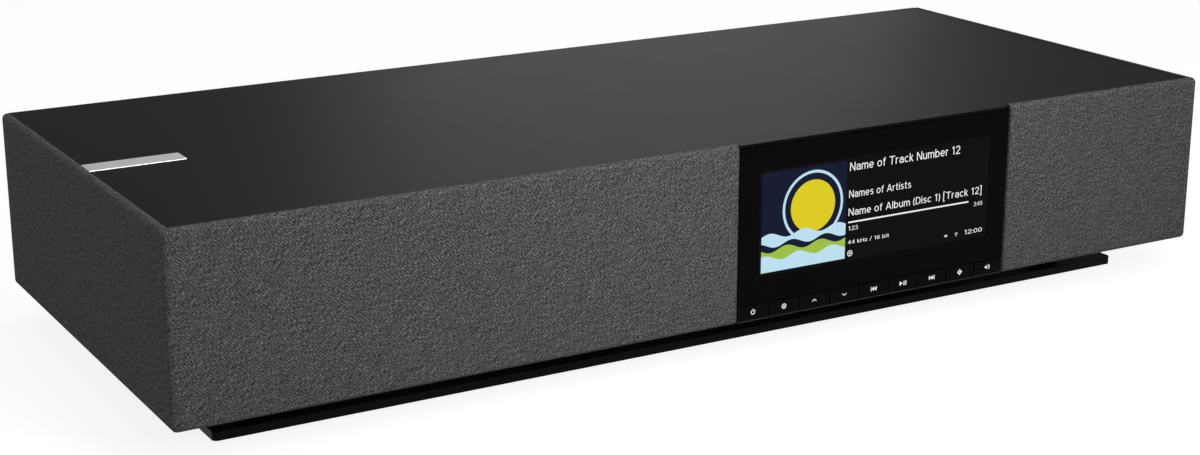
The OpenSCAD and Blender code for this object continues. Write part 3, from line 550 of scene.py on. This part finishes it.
def lit(name, colour):
    """A lit part of the screen, seen through the glass."""
    return behind_glass(name, Emission_Color=colour, Emission_Strength=1.0)


def screen():
    """The face of the screen panel: black cells in a fine grid."""
    paint = Finish("screen", Specular_IOR_Level=0.3)
    grid = paint.bricks(scale=4.0, mortar=0.05, offset=0.0)
    paint.feed("Base Color", paint.shades(grid, grey(0.006), grey(0.016), start=0.2, end=0.8))
    paint.feed("Roughness", paint.span(grid, 0.2, 0.4, start=0, end=1))
    return paint.material


def ribbon():
    """Amber film with copper lines along it, 1 mm apart."""
    paint = Finish("ribbon", Specular_IOR_Level=0.4)
    across = paint.split(paint.place())[0]
    lines = paint.math("SINE", paint.math("MULTIPLY", across, 2 * math.pi))
    amber, copper = (0.40, 0.17, 0.03, 1), (0.62, 0.30, 0.10, 1)
    paint.feed("Base Color", paint.shades(lines, amber, copper, start=0.4, end=0.6))
    paint.feed("Roughness", paint.span(paint.noise(size=5, detail=3), 0.3, 0.42))
    paint.relief(lines, depth=0.03, strength=0.6)
    return paint.material


def circuit_board(name, parts_from):
    """Green solder mask over copper runs. What stands above the board is dark, with paler tops."""
    paint = Finish(name, Specular_IOR_Level=0.4)
    runs = paint.bricks(scale=0.25, mortar=0.06)
    masked, run = (0.010, 0.060, 0.022, 1), (0.030, 0.130, 0.050, 1)
    green = paint.shades(runs, masked, run, start=0.2, end=0.8)
    grain = paint.noise(size=2, detail=3)
    bodies = paint.shades(grain, grey(0.016), grey(0.024))
    tops = paint.shades(grain, grey(0.17), grey(0.22))
    facing_up = paint.split(paint.add("TexCoord", {}, "Normal"))[2]
    parts = paint.mix(paint.span(facing_up, 0, 1, start=0.6, end=0.9), bodies, tops)
    above = paint.math("GREATER_THAN", paint.height(), parts_from)
    paint.feed("Base Color", paint.mix(above, green, parts))
    paint.feed("Roughness", paint.span(paint.noise(size=3, detail=3), 0.38, 0.55))
    paint.relief(runs, depth=0.03, strength=0.6)
    return paint.material


def cone_paper():
    """Pressed paper pulp, tinted black, with its long fibres."""
    paint = Finish("cone_paper", Specular_IOR_Level=0.2)
    fibres = paint.noise(size=1.2, detail=6, vector=paint.stretched((1, 0.4, 1)))
    paint.feed("Base Color", paint.shades(fibres, grey(0.014), grey(0.045)))
    paint.feed("Roughness", paint.span(fibres, 0.75, 0.9))
    paint.relief(fibres, depth=0.06, strength=0.8)
    return paint.material


def dome_silk():
    """Coated silk, with the grid of its weave."""
    paint = Finish("dome_silk", Specular_IOR_Level=0.35)
    grid = paint.bricks(scale=2.5, mortar=0.1, offset=0.0)
    paint.feed("Base Color", paint.shades(grid, grey(0.05), grey(0.025), start=0.2, end=0.8))
    paint.feed("Roughness", paint.span(paint.noise(size=2), 0.4, 0.55))
    paint.relief(grid, depth=0.02, strength=0.6)
    return paint.material


# The parts on a board start this far above its feet, in mm, just clear of its top. The key board has none
BOARD_TOP = 7.7
PARTS_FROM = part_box("main_board")[0].z / MM + BOARD_TOP
NO_PARTS_FROM = cad_high.z / MM

FINISHES = {
    "board_wood": board_wood(),
    "back_black": back_black(),
    "frame_plastic": plastic("frame_plastic", grey(0.012), rough=0.62),
    "cloth": cloth(),
    "top_metal": top_metal(),
    "badge_metal": badge_metal(),
    "carrier_plastic": plastic("carrier_plastic", grey(0.010), rough=0.55),
    "front_glass": behind_glass("front_glass"),
    "screen": screen(),
    "ribbon": ribbon(),
    "circuit_board": circuit_board("circuit_board", PARTS_FROM),
    "switch_plastic": plastic("switch_plastic", grey(0.016), rough=0.5),
    "key_plastic": key_plastic(),
    "basket_metal": coated_metal("basket_metal", grey(0.02), rough=0.5, shine=0.3),
    "motor_metal": bare_metal("motor_metal", (0.34, 0.34, 0.36, 1), rough=0.42),
    "cone_paper": cone_paper(),
    "suspension_rubber": rubber("suspension_rubber", grey(0.012), rough=0.68),
    "tweeter_plastic": plastic("tweeter_plastic", grey(0.014), rough=0.52),
    "dome_silk": dome_silk(),
    "connector_metal": coated_metal(
        "connector_metal", grey(0.022), rough=0.46, shine=0.3, grain=0.35, depth=0.015
    ),
    "inlet_plastic": plastic("inlet_plastic", grey(0.014), rough=0.5),
    "jack_metal": bare_metal("jack_metal", (0.86, 0.62, 0.26, 1), rough=0.24),
    "network_metal": bare_metal("network_metal", (0.66, 0.66, 0.68, 1), rough=0.32, brush=ALONG_X),
    "base_metal": coated_metal("base_metal", grey(0.003), rough=0.42, shine=0.05),
    "spacer_metal": coated_metal("spacer_metal", grey(0.008), rough=0.4, shine=0.2),
    "foot_rubber": rubber("foot_rubber", grey(0.012), rough=0.8),
    "screw_steel": bare_metal("screw_steel", (0.10, 0.10, 0.105, 1), rough=0.36),
}
LIT = {name: lit("lit_" + name, colour) for name, colour in LIT_COLOURS.items()}


def dress_nodes():
    """Gives every node of the frame the finish of its slot."""
    bare_board = circuit_board("key_circuit_board", NO_PARTS_FROM)
    for part in frame["record"]["subparts"]:
        material = FINISHES[part["material_slot"]]
        if part["node"] == "key_board":
            material = bare_board
        for slot in frame["nodes"][part["node"]].material_slots:
            slot.material = material


def soften(node, width):
    """Rounds a node's sharp edges by that many mm."""
    piece = frame["nodes"][node]
    weld = piece.modifiers.new("weld", "WELD")
    weld.merge_threshold = MERGE
    flat = piece.modifiers.new("flat", "DECIMATE")
    flat.decimate_type = "DISSOLVE"
    flat.angle_limit = math.radians(FLAT_ANGLE)
    bevel = piece.modifiers.new("soft", "BEVEL")
    bevel.width = width * MM
    bevel.segments = SOFT_STEPS
    bevel.limit_method = "ANGLE"
    bevel.angle_limit = math.radians(SHARP_ANGLE)
    bevel.harden_normals = True
    bevel.use_clamp_overlap = True
    clean = piece.modifiers.new("clean", "WELD")
    clean.merge_threshold = CLEAN_MERGE


# Pieces

def new_piece(name, bm, body, slot, *materials):
    """A piece from a bmesh, in the object's own frame, that rides on a body."""
    mesh = bpy.data.meshes.new(name)
    bm.to_mesh(mesh)
    bm.free()
    for material in materials:
        mesh.materials.append(material)
    piece = bpy.data.objects.new(name, mesh)
    bpy.context.scene.collection.objects.link(piece)
    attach(piece, body)
    return piece


def arc(centre, radius, start, end, steps=ARC_STEPS):
    """Points on an arc, with angles in degrees."""
    points = []
    for i in range(steps + 1):
        angle = math.radians(start + (end - start) * i / steps)
        points.append((centre[0] + radius * math.cos(angle), centre[1] + radius * math.sin(angle)))
    return points


def ramp(start, end, step):
    """Even steps from start to end, with both."""
    count = max(1, round(abs(end - start) / step))
    return [start + (end - start) * i / count for i in range(count + 1)]


def lengths(points):
    """How far each point lies along the line through them."""
    total = [0.0]
    for before, after in zip(points, points[1:]):
        total.append(total[-1] + math.dist(before, after))
    return total


def fabric(name, node, baffle, side):
    """The cloth of one cover, stretched round its frame.

    It is laid out for a cover on the +X end and mirrored for the other one. A column goes from the top lip
    over the face to the bottom lip, and the columns go from the console round the corner to the back.
    """
    low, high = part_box(node)
    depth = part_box(baffle)[0].y - low.y
    outer = max(side * low.x, side * high.x)
    inner = min(side * low.x, side * high.x)
    core_x, core_y0, core_y1 = outer - EDGE_R, low.y + EDGE_R, high.y - EDGE_R
    lip = depth - EDGE_R
    upper = arc((0, high.z - EDGE_R), EDGE_R, 90, 0)
    lower = arc((0, low.z + EDGE_R), EDGE_R, 0, -90)
    middle = [(EDGE_R, z) for z in ramp(high.z - EDGE_R, low.z + EDGE_R, COLUMN_STEP)][1:-1]
    profile = [(-lip, high.z)] + upper + middle + lower + [(-lip, low.z)]
    heights = [total - EDGE_R for total in lengths(profile)]

    path = [((x, core_y0), (0, -1)) for x in ramp(inner + FOLD, core_x, COLUMN_STEP)]
    path += [((core_x, core_y0), turn) for turn in arc((0, 0), 1, -90, 0)[1:]]
    path += [((core_x, y), (1, 0)) for y in ramp(core_y0, core_y1, COLUMN_STEP)[1:]]
    path += [((core_x, core_y1), turn) for turn in arc((0, 0), 1, 0, 90)[1:]]
    path += [((outer - depth, core_y1), (0, 1))]

    columns = []
    for push in (depth, FOLD):
        columns.append([(inner, max(core_y0 - out, low.y + push), z) for out, z in profile])
    for core, turn in path:
        column = []
        for out, z in profile:
            x, y = core[0] + turn[0] * out, core[1] + turn[1] * out
            if out < 0:
                x = min(x, outer - depth)
                y = max(y if turn[1] <= 0 else core[1], low.y + depth)
            column.append((x, y, z))
        columns.append(column)

    face_row = len(profile) // 2
    runs = lengths([column[face_row] for column in columns])
    bm = bmesh.new()
    weave = bm.loops.layers.uv.new(WEAVE_MAP)
    for i in range(len(columns) - 1):
        for j in range(len(profile) - 1):
            corners = [(i, j), (i, j + 1), (i + 1, j + 1), (i + 1, j)]
            if side < 0:
                corners.reverse()
            verts = [bm.verts.new((side * columns[a][b][0],) + columns[a][b][1:]) for a, b in corners]
            face = bm.faces.new(verts)
            face.smooth = True
            for loop, (a, b) in zip(face.loops, corners):
                loop[weave].uv = (side * runs[a] / MM, -heights[b] / MM)
    bmesh.ops.remove_doubles(bm, verts=bm.verts, dist=MERGE)
    bmesh.ops.dissolve_degenerate(bm, edges=bm.edges, dist=MERGE)
    piece = new_piece(name, bm, "cabinet", "cloth", FINISHES["cloth"])
    piece.data.set_sharp_from_angle(angle=math.radians(CREASE_ANGLE))
    thick = piece.modifiers.new("thickness", "SOLIDIFY")
    thick.thickness = CLOTH_T
    thick.offset = -1
    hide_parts(node)


# Flat shapes on the front, as lists of polygons of (x, z)

def disc(x, z, radius, steps=40):
    return [arc((x, z), radius, 0, 360, steps)[:-1]]


def ring(x, z, inner, outer, start=0, end=360, steps=36):
    rim, hole = arc((x, z), outer, start, end, steps), arc((x, z), inner, start, end, steps)
    return [[hole[i], rim[i], rim[i + 1], hole[i + 1]] for i in range(steps)]


def bar(x0, z0, x1, z1, width):
    """A straight stroke between two points."""
    along = Vector((x1 - x0, z1 - z0)).normalized() * width / 2
    side = Vector((-along.y, along.x))
    return [[(x0 + side.x, z0 + side.y), (x0 - side.x, z0 - side.y),
             (x1 - side.x, z1 - side.y), (x1 + side.x, z1 + side.y)]]


def block(x0, z0, x1, z1):
    return [[(x0, z0), (x1, z0), (x1, z1), (x0, z1)]]


def band(lower, upper):
    """The strip between two rows of points."""
    return [[lower[i], lower[i + 1], upper[i + 1], upper[i]] for i in range(len(lower) - 1)]


def moved(shapes, x, z, scale=1.0):
    return [[(x + scale * px, z + scale * pz) for px, pz in polygon] for polygon in shapes]


def add_slab(bm, shapes, y_front, y_back, material=0):
    """Adds flat shapes to a bmesh as thin closed slabs."""
    part = bmesh.new()
    for polygon in shapes:
        part.faces.new([part.verts.new((x, y_front, z)) for x, z in polygon])
    bmesh.ops.remove_doubles(part, verts=part.verts, dist=MERGE)
    close_slab(part, y_back - y_front)
    merge(bm, part, material)


def close_slab(part, depth):
    """Gives flat faces a back and sides."""
    made = bmesh.ops.extrude_face_region(part, geom=part.faces[:], use_keep_orig=True)
    back = [item for item in made["geom"] if isinstance(item, bmesh.types.BMVert)]
    bmesh.ops.translate(part, verts=back, vec=(0, depth, 0))
    bmesh.ops.recalc_face_normals(part, faces=part.faces)


def merge(bm, part, material):
    """Moves one bmesh into another, with one material on its faces."""
    for face in part.faces:
        face.material_index = material
    mesh = bpy.data.meshes.new("part")
    part.to_mesh(mesh)
    part.free()
    bm.from_mesh(mesh)
    bpy.data.meshes.remove(mesh)


# Letters, as lines that a pen follows: a capital is 1 high, and X starts at the pen's first upright

PEN = 0.115
LETTER_GAP = 0.13
WORD_GAP = 0.34
FOOT = PEN / 2
HEAD = 1 - PEN / 2
SMALL_TOP = 0.74
SMALL_HEAD = SMALL_TOP - PEN / 2
SMALL_MID = SMALL_TOP / 2
SMALL_R = SMALL_MID - FOOT
SHOULDER_R = 0.2
BRACKET_FOOT = -0.2
BRACKET_HEAD = 1.1
BOW_STEPS = 20
# The ends of a closed line are nearer than this
CLOSED_GAP = PEN / 200


def bow(x, z, wide, tall, start, end):
    """An arc of an ellipse, with angles in degrees."""
    return [(x + wide * px, z + tall * pz) for px, pz in arc((0, 0), 1, start, end, BOW_STEPS)]


def stem(x, top=1.0, bottom=0.0):
    return [(x, bottom), (x, top)]


def level(z, x0, x1):
    """A line along a row, to the outer edges of its ends."""
    return [(x0 - PEN / 2, z), (x1 + PEN / 2, z)]


def arch(x, wide):
    """The shoulder and leg of a small letter."""
    shoulder = bow(x + wide / 2, SMALL_HEAD - SHOULDER_R, wide / 2, SHOULDER_R, 180, 0)
    return shoulder + [(x + wide, 0)]


# Each letter has its width and its lines
GLYPHS = {
    "A": (0.66, [[(0, 0), (0.33, 1)], [(0.66, 0), (0.33, 1)], level(0.3, 0.14, 0.52)]),
    "D": (0.56, [stem(0), [(0, HEAD)] + bow(0.24, 0.5, 0.32, HEAD - 0.5, 90, -90) + [(0, FOOT)]]),
    "H": (0.56, [stem(0), stem(0.56), level(0.52, 0, 0.56)]),
    "N": (0.58, [stem(0), [(0, 1), (0.58, 0)], stem(0.58)]),
    "T": (0.60, [level(HEAD, 0, 0.60), stem(0.30)]),
    "a": (0.45, [
        bow(0.23, 0.51, 0.22, SMALL_HEAD - 0.51, 165, 0) + [(0.45, 0)],
        [(0.45, 0.42)] + bow(0.2, 0.24, 0.2, 0.24 - FOOT, 90, 270) + [(0.3, 0.08), (0.45, 0.2)],
    ]),
    "b": (0.48, [stem(0), bow(0.24, SMALL_MID, 0.24, SMALL_R, 0, 360)]),
    "c": (0.43, [bow(0.24, SMALL_MID, 0.24, SMALL_R, 45, 315)]),
    "e": (0.48, [bow(0.24, SMALL_MID, 0.24, SMALL_R, 0, 318), level(SMALL_MID, 0.06, 0.42)]),
    "f": (0.27, [
        [(0.1, 0)] + bow(0.26, 0.8, 0.16, HEAD - 0.8, 180, 90) + [(0.3, HEAD)],
        level(SMALL_HEAD, 0, 0.22),
    ]),
    "i": (0.00, [stem(0, SMALL_TOP), stem(0, 1, 0.87)]),
    "k": (0.40, [stem(0), [(0.02, 0.26), (0.36, SMALL_TOP)], [(0.14, 0.42), (0.4, 0)]]),
    "l": (0.00, [stem(0)]),
    "m": (0.74, [stem(0, SMALL_TOP), arch(0, 0.37), arch(0.37, 0.37)]),
    "o": (0.50, [bow(0.25, SMALL_MID, 0.25, SMALL_R, 0, 360)]),
    "r": (0.24, [stem(0, SMALL_TOP), bow(0.22, SMALL_HEAD - 0.22, 0.22, 0.22, 180, 85)]),
    "s": (0.40, [
        bow(0.2, SMALL_HEAD - 0.145, 0.185, 0.145, 30, 270) + bow(0.2, FOOT + 0.16, 0.2, 0.16, 90, -150)[1:],
    ]),
    "t": (0.26, [
        [(0.1, 0.95)] + bow(0.24, 0.22, 0.14, 0.22 - FOOT, 180, 270) + [(0.29, FOOT)],
        level(SMALL_HEAD, 0, 0.22),
    ]),
    "u": (0.43, [[(0, SMALL_TOP)] + bow(0.215, 0.27, 0.215, 0.27 - FOOT, 180, 360), stem(0.43, SMALL_TOP)]),
    "z": (0.40, [level(SMALL_HEAD, 0, 0.40), [(0.38, SMALL_HEAD), (0.02, FOOT)], level(FOOT, 0, 0.40)]),
    "0": (0.48, [bow(0.24, 0.5, 0.24, 0.5 - FOOT, 0, 360)]),
    "1": (0.30, [[(0, 0.76), (0.22, 0.96)], stem(0.22)]),
    "2": (0.48, [bow(0.24, HEAD - 0.24, 0.24, 0.24, 170, -38) + [(0.02, FOOT)], level(FOOT, 0, 0.48)]),
    "3": (0.48, [
        bow(0.23, HEAD - 0.205, 0.22, 0.205, 155, -90) + bow(0.23, FOOT + 0.23, 0.25, 0.23, 90, -155)[1:],
    ]),
    "4": (0.50, [[(0.36, 1), (0, 0.3)], level(0.27, 0, 0.5), stem(0.37)]),
    "5": (0.48, [[(0.42, HEAD), (0.07, HEAD), (0.03, 0.5)], bow(0.22, FOOT + 0.27, 0.25, 0.27, 140, -150)]),
    "6": (0.48, [
        bow(0.24, FOOT + 0.26, 0.24, 0.26, 0, 360),
        bow(0.26, 0.5, 0.26, HEAD - 0.5, 50, 180) + [(0, 0.32)],
    ]),
    ":": (0.00, [stem(0, 0.14), stem(0, 0.66, 0.52)]),
    "/": (0.28, [[(0, -0.05), (0.28, 1.05)]]),
    "(": (0.12, [bow(0.34, 0.42, 0.34, 0.68, 130, 230)]),
    ")": (0.12, [bow(-0.22, 0.42, 0.34, 0.68, 50, -50)]),
    "[": (0.14, [
        stem(0, BRACKET_HEAD, BRACKET_FOOT),
        level(BRACKET_FOOT, 0, 0.12),
        level(BRACKET_HEAD, 0, 0.12),
    ]),
    "]": (0.14, [
        stem(0.14, BRACKET_HEAD, BRACKET_FOOT),
        level(BRACKET_FOOT, 0.02, 0.14),
        level(BRACKET_HEAD, 0.02, 0.14),
    ]),
}


def inked(line):
    """The strip that the pen leaves along a line."""
    closed = math.dist(line[0], line[-1]) < CLOSED_GAP
    last = len(line) - 1
    left, right = [], []
    for i, (x, z) in enumerate(line):
        before = line[i - 1] if i > 0 else line[last - 1 if closed else 0]
        after = line[i + 1] if i < last else line[1 if closed else last]
        along = Vector((after[0] - before[0], after[1] - before[1])).normalized() * PEN / 2
        left.append((x - along.y, z + along.x))
        right.append((x + along.y, z - along.x))
    return band(right, left)


def words(text, left, baseline, cap, width):
    """A line of text with that height of its capitals, fitted to that width."""
    strips = []
    x = PEN / 2
    for letter in text:
        if letter == " ":
            x += WORD_GAP
            continue
        wide, lines = GLYPHS[letter]
        for line in lines:
            strips += moved(inked(line), x, 0)
        x += wide + PEN + LETTER_GAP
    natural = x - LETTER_GAP - PEN / 2
    return [[(left + px * width / natural, baseline + pz * cap) for px, pz in strip] for strip in strips]


# Signs, in mm round their own middle

def power_sign():
    return ring(0, 0, inner=0.95, outer=1.4, start=120, end=420) + bar(0, 0.3, 0, 1.7, width=0.45)


def source_sign():
    return ring(0, 0, inner=1.1, outer=1.5) + ring(0, 0, inner=0.35, outer=0.75)


def chevron_sign(way):
    left = bar(-1.35, -0.6 * way, 0.12, 0.65 * way, width=0.45)
    right = bar(1.35, -0.6 * way, -0.12, 0.65 * way, width=0.45)
    return left + right


def skip_sign(way):
    """Two arrowheads against a bar."""
    shapes = []
    for tail, tip in ((-1.8, -0.1), (-0.1, 1.6)):
        shapes.append([(way * tail, -1.3), (way * tip, 0), (way * tail, 1.3)])
    return shapes + bar(way * 1.85, -1.3, way * 1.85, 1.3, width=0.5)


def play_sign():
    """An arrowhead and two bars."""
    shapes = [[(-2.3, -1.35), (-0.2, 0), (-2.3, 1.35)]]
    for x in (0.7, 2.0):
        shapes += bar(x, -1.3, x, 1.3, width=0.6)
    return shapes


def menu_sign():
    """A square ring on its corner with a dot inside."""
    return ring(0, 0, inner=0.85, outer=1.75, steps=4) + disc(0, 0, 0.3, steps=16)


def speaker_sign(waves):
    shapes = block(-1.9, -0.5, -1.2, 0.5) + [[(-1.2, -0.5), (-0.2, -1.3), (-0.2, 1.3), (-1.2, 0.5)]]
    for i in range(waves):
        inner = 0.95 + 0.75 * i
        shapes += ring(-0.4, 0, inner, inner + 0.35, start=-50, end=50, steps=10)
    return shapes


def signal_sign():
    """A dot under two arcs."""
    shapes = disc(0, 0, 0.4, steps=16)
    for inner in (1.0, 1.9):
        shapes += ring(0, 0, inner, inner + 0.4, start=50, end=130, steps=10)
    return shapes


def dot_sign():
    """A ring with a dot inside."""
    return ring(0, 0, inner=1.25, outer=1.8) + disc(0, 0, 0.6)


KEY_SIGNS = {
    "key_power": power_sign(),
    "key_source": source_sign(),
    "key_up": chevron_sign(1),
    "key_down": chevron_sign(-1),
    "key_previous": skip_sign(-1),
    "key_play": play_sign(),
    "key_next": skip_sign(1),
    "key_menu": menu_sign(),
    "key_volume": speaker_sign(2),
}


def make_signs():
    """The white sign on each key."""
    material = key_print()
    for key, shapes in KEY_SIGNS.items():
        low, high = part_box(key)
        glass_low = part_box("front_glass")[0]
        middle_z = (low.z + glass_low.z) / 2 + SIGN_LIFT
        bm = bmesh.new()
        placed = moved(shapes, (low.x + high.x) / 2, middle_z, SIGN_SCALE)
        add_slab(bm, placed, low.y - SLAB_PROUD, low.y + SLAB_SUNK)
        new_piece("sign_" + key, bm, key, "key_plastic", material)


# Screen

class ScreenPlan:
    """Places on the lit screen, in mm right of and below its upper left corner."""

    def __init__(self):
        panel_low, panel_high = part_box("screen_panel")
        self.left = panel_low.x + SCREEN_RIM
        self.right = panel_high.x - SCREEN_RIM
        self.top = panel_high.z - SCREEN_RIM
        self.bottom = panel_low.z + SCREEN_RIM
        self.glass_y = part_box("front_glass")[0].y

    def x(self, right):
        return self.left + right * MM

    def z(self, down):
        return self.top - down * MM

    def slab(self, bm, shapes, layer, material=0):
        """Adds flat shapes to one layer of the picture. Each layer reaches further out and further in."""
        front = self.glass_y - SLAB_PROUD - layer * LAYER
        back = self.glass_y + SLAB_SUNK + layer * LAYER
        add_slab(bm, shapes, front, back, material)


# The cover picture: its side, its place right of and below the screen's corner, and what is on it
COVER_SIDE = 57 * MM
COVER_PLACE = (1.6, 1.4)
COVER_COLOURS = ["navy", "yellow", "lime", "ice"]
SUN_SHARE = 0.60
SUN_R = 15 * MM
RING_R = 20.5 * MM
RING_W = 1.6 * MM
WAVES = 2.5
WAVE_SWING = 1.6 * MM
# Rows of waves: height as a share of the cover, phase, colour
WAVE_ROWS = [(0.36, 0.0, "ice"), (0.27, 0.35, "navy"), (0.22, 0.5, "lime"), (0.14, 0.15, "ice")]

# Lines on the screen: words, place of their left end and baseline, height of capitals, width
LINES = [
    ("Name of Track Number 12", 60.4, 7.7, 4.9, 78.2),
    ("Names of Artists", 60.4, 23.3, 4.3, 43.6),
    ("Name of Album (Disc 1) [Track 12]", 60.4, 33.8, 4.3, 95.6),
    ("1:23", 60.6, 42.4, 2.5, 6.6),
    ("3:45", 150.6, 40.9, 2.5, 6.6),
    ("44 kHz / 16 bit", 60.6, 50.4, 2.2, 29.0),
    ("12:00", 144.6, 57.2, 2.7, 13.2),
]
# The bar that shows the time: its two ends, its height on the screen and its width
TIME_BAR_ENDS = (60.4, 146.6)
TIME_BAR_DOWN = 37.6
TIME_BAR_W = 0.9
# Small signs on the screen: shapes, place of their middle, scale
SCREEN_SIGNS = [
    (dot_sign(), 62.2, 55.9, 1.0),
    (speaker_sign(1), 131.4, 56.0, 0.75),
    (signal_sign(), 138.6, 57.0, 0.8),
]


def wave_line(x0, x1, z, swing, phase, steps=40):
    points = []
    for i in range(steps + 1):
        share = i / steps
        points.append((x0 + (x1 - x0) * share, z + swing * math.sin(2 * math.pi * (WAVES * share + phase))))
    return points


def make_cover(plan):
    """The cover picture: a plain sun over waves."""
    navy, yellow, _, ice = range(len(COVER_COLOURS))
    x0, z1 = plan.x(COVER_PLACE[0]), plan.z(COVER_PLACE[1])
    x1, z0 = x0 + COVER_SIDE, z1 - COVER_SIDE
    sun_x, sun_z = x0 + SUN_SHARE * COVER_SIDE, z0 + SUN_SHARE * COVER_SIDE
    bm = bmesh.new()
    plan.slab(bm, block(x0, z0, x1, z1), layer=1, material=navy)
    plan.slab(bm, ring(sun_x, sun_z, RING_R - RING_W, RING_R), layer=2, material=ice)
    plan.slab(bm, disc(sun_x, sun_z, SUN_R), layer=2, material=yellow)
    for layer, (share, phase, colour) in enumerate(WAVE_ROWS, start=3):
        crest = wave_line(x0, x1, z0 + share * COVER_SIDE, WAVE_SWING, phase)
        foot = [(x, z0) for x, _ in crest]
        plan.slab(bm, band(foot, crest), layer, COVER_COLOURS.index(colour))
    new_piece("screen_cover", bm, "cabinet", "screen", *[LIT[colour] for colour in COVER_COLOURS])


def make_screen():
    """What the screen shows: a faint glow, a cover, lines of words, a bar and small signs."""
    plan = ScreenPlan()
    bm = bmesh.new()
    plan.slab(bm, block(plan.left, plan.bottom, plan.right, plan.top), layer=0)
    new_piece("screen_glow", bm, "cabinet", "screen", LIT["glow"])
    make_cover(plan)
    bm = bmesh.new()
    for text, right, down, cap, width in LINES:
        plan.slab(bm, words(text, plan.x(right), plan.z(down), cap * MM, width * MM), layer=1)
    start, end = [plan.x(right) for right in TIME_BAR_ENDS]
    time_z = plan.z(TIME_BAR_DOWN)
    signs = bar(start, time_z, end, time_z, TIME_BAR_W * MM)
    for shapes, right, down, scale in SCREEN_SIGNS:
        signs += moved(shapes, plan.x(right), plan.z(down), scale * MM)
    plan.slab(bm, signs, layer=1)
    new_piece("screen_words", bm, "cabinet", "screen", LIT["white"])


# Rear sockets

CONTACTS = 8
CONTACT_PITCH = 1.02 * MM
CONTACT_W = 0.5 * MM
CONTACT_T = 0.3 * MM
# The near and far end of a contact, in mm from the jack's mouth and from its top
CONTACT_ENDS = [(2.5, 3.4), (11.0, 7.5)]
JACK_WALL = 0.9 * MM
JACK_COLOURS = {"jack_ring_red": (0.42, 0.012, 0.012, 1), "jack_ring_white": (0.72, 0.71, 0.68, 1)}


def make_contacts():
    """Gold springs that slope back in the network jack's mouth."""
    low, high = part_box("network_jack")
    middle = (low.x + high.x) / 2
    (near_y, near_z), (far_y, far_z) = [(high.y - y * MM, high.z - z * MM) for y, z in CONTACT_ENDS]
    outline = [(near_y, near_z), (near_y, near_z + CONTACT_T), (far_y, far_z + CONTACT_T), (far_y, far_z)]
    bm = bmesh.new()
    for i in range(CONTACTS):
        x = middle + (i - (CONTACTS - 1) / 2) * CONTACT_PITCH
        left = [bm.verts.new((x - CONTACT_W / 2, y, z)) for y, z in outline]
        right = [bm.verts.new((x + CONTACT_W / 2, y, z)) for y, z in outline]
        bm.faces.new(left)
        bm.faces.new(right[::-1])
        for k in range(len(outline)):
            after = (k + 1) % len(outline)
            bm.faces.new([left[k], right[k], right[after], left[after]])
    bmesh.ops.recalc_face_normals(bm, faces=bm.faces)
    new_piece("network_contacts", bm, "cabinet", "jack_metal", FINISHES["jack_metal"])


def make_jack_rings():
    """The coloured insulators in the mouths of the two line jacks."""
    low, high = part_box("line_jacks")
    middle = (low.x + high.x) / 2
    mouths = [point.co for point in frame["nodes"]["line_jacks"].data.vertices if high.y - point.co.y < LAYER]
    for side, (name, colour) in zip((-1, 1), JACK_COLOURS.items()):
        mouth = [(point.x, point.z) for point in mouths if side * (point.x - middle) > 0]
        centre = [(min(values) + max(values)) / 2 for values in zip(*mouth)]
        radii = [math.dist(point, centre) for point in mouth]
        bm = bmesh.new()
        shapes = ring(*centre, min(radii), max(radii) - JACK_WALL)
        add_slab(bm, shapes, high.y + SLAB_PROUD, high.y - SLAB_SUNK)
        new_piece(name, bm, "cabinet", "inlet_plastic", plastic(name, colour, rough=0.4))


make_camera()
make_world()
make_floor()
for lamp in LAMPS:
    softbox(*lamp)

dress_nodes()
for key in KEY_SIGNS:
    soften(key, KEY_SOFT_EDGE)
for node, width in SOFT_EDGES.items():
    soften(node, width)

fabric("fabric_left", "grille_cloth_left", "baffle_left", -1)
fabric("fabric_right", "grille_cloth_right", "baffle_right", 1)
make_screen()
make_signs()
make_contacts()
make_jack_rings()

bpy.context.scene.view_settings.view_transform = "Standard"
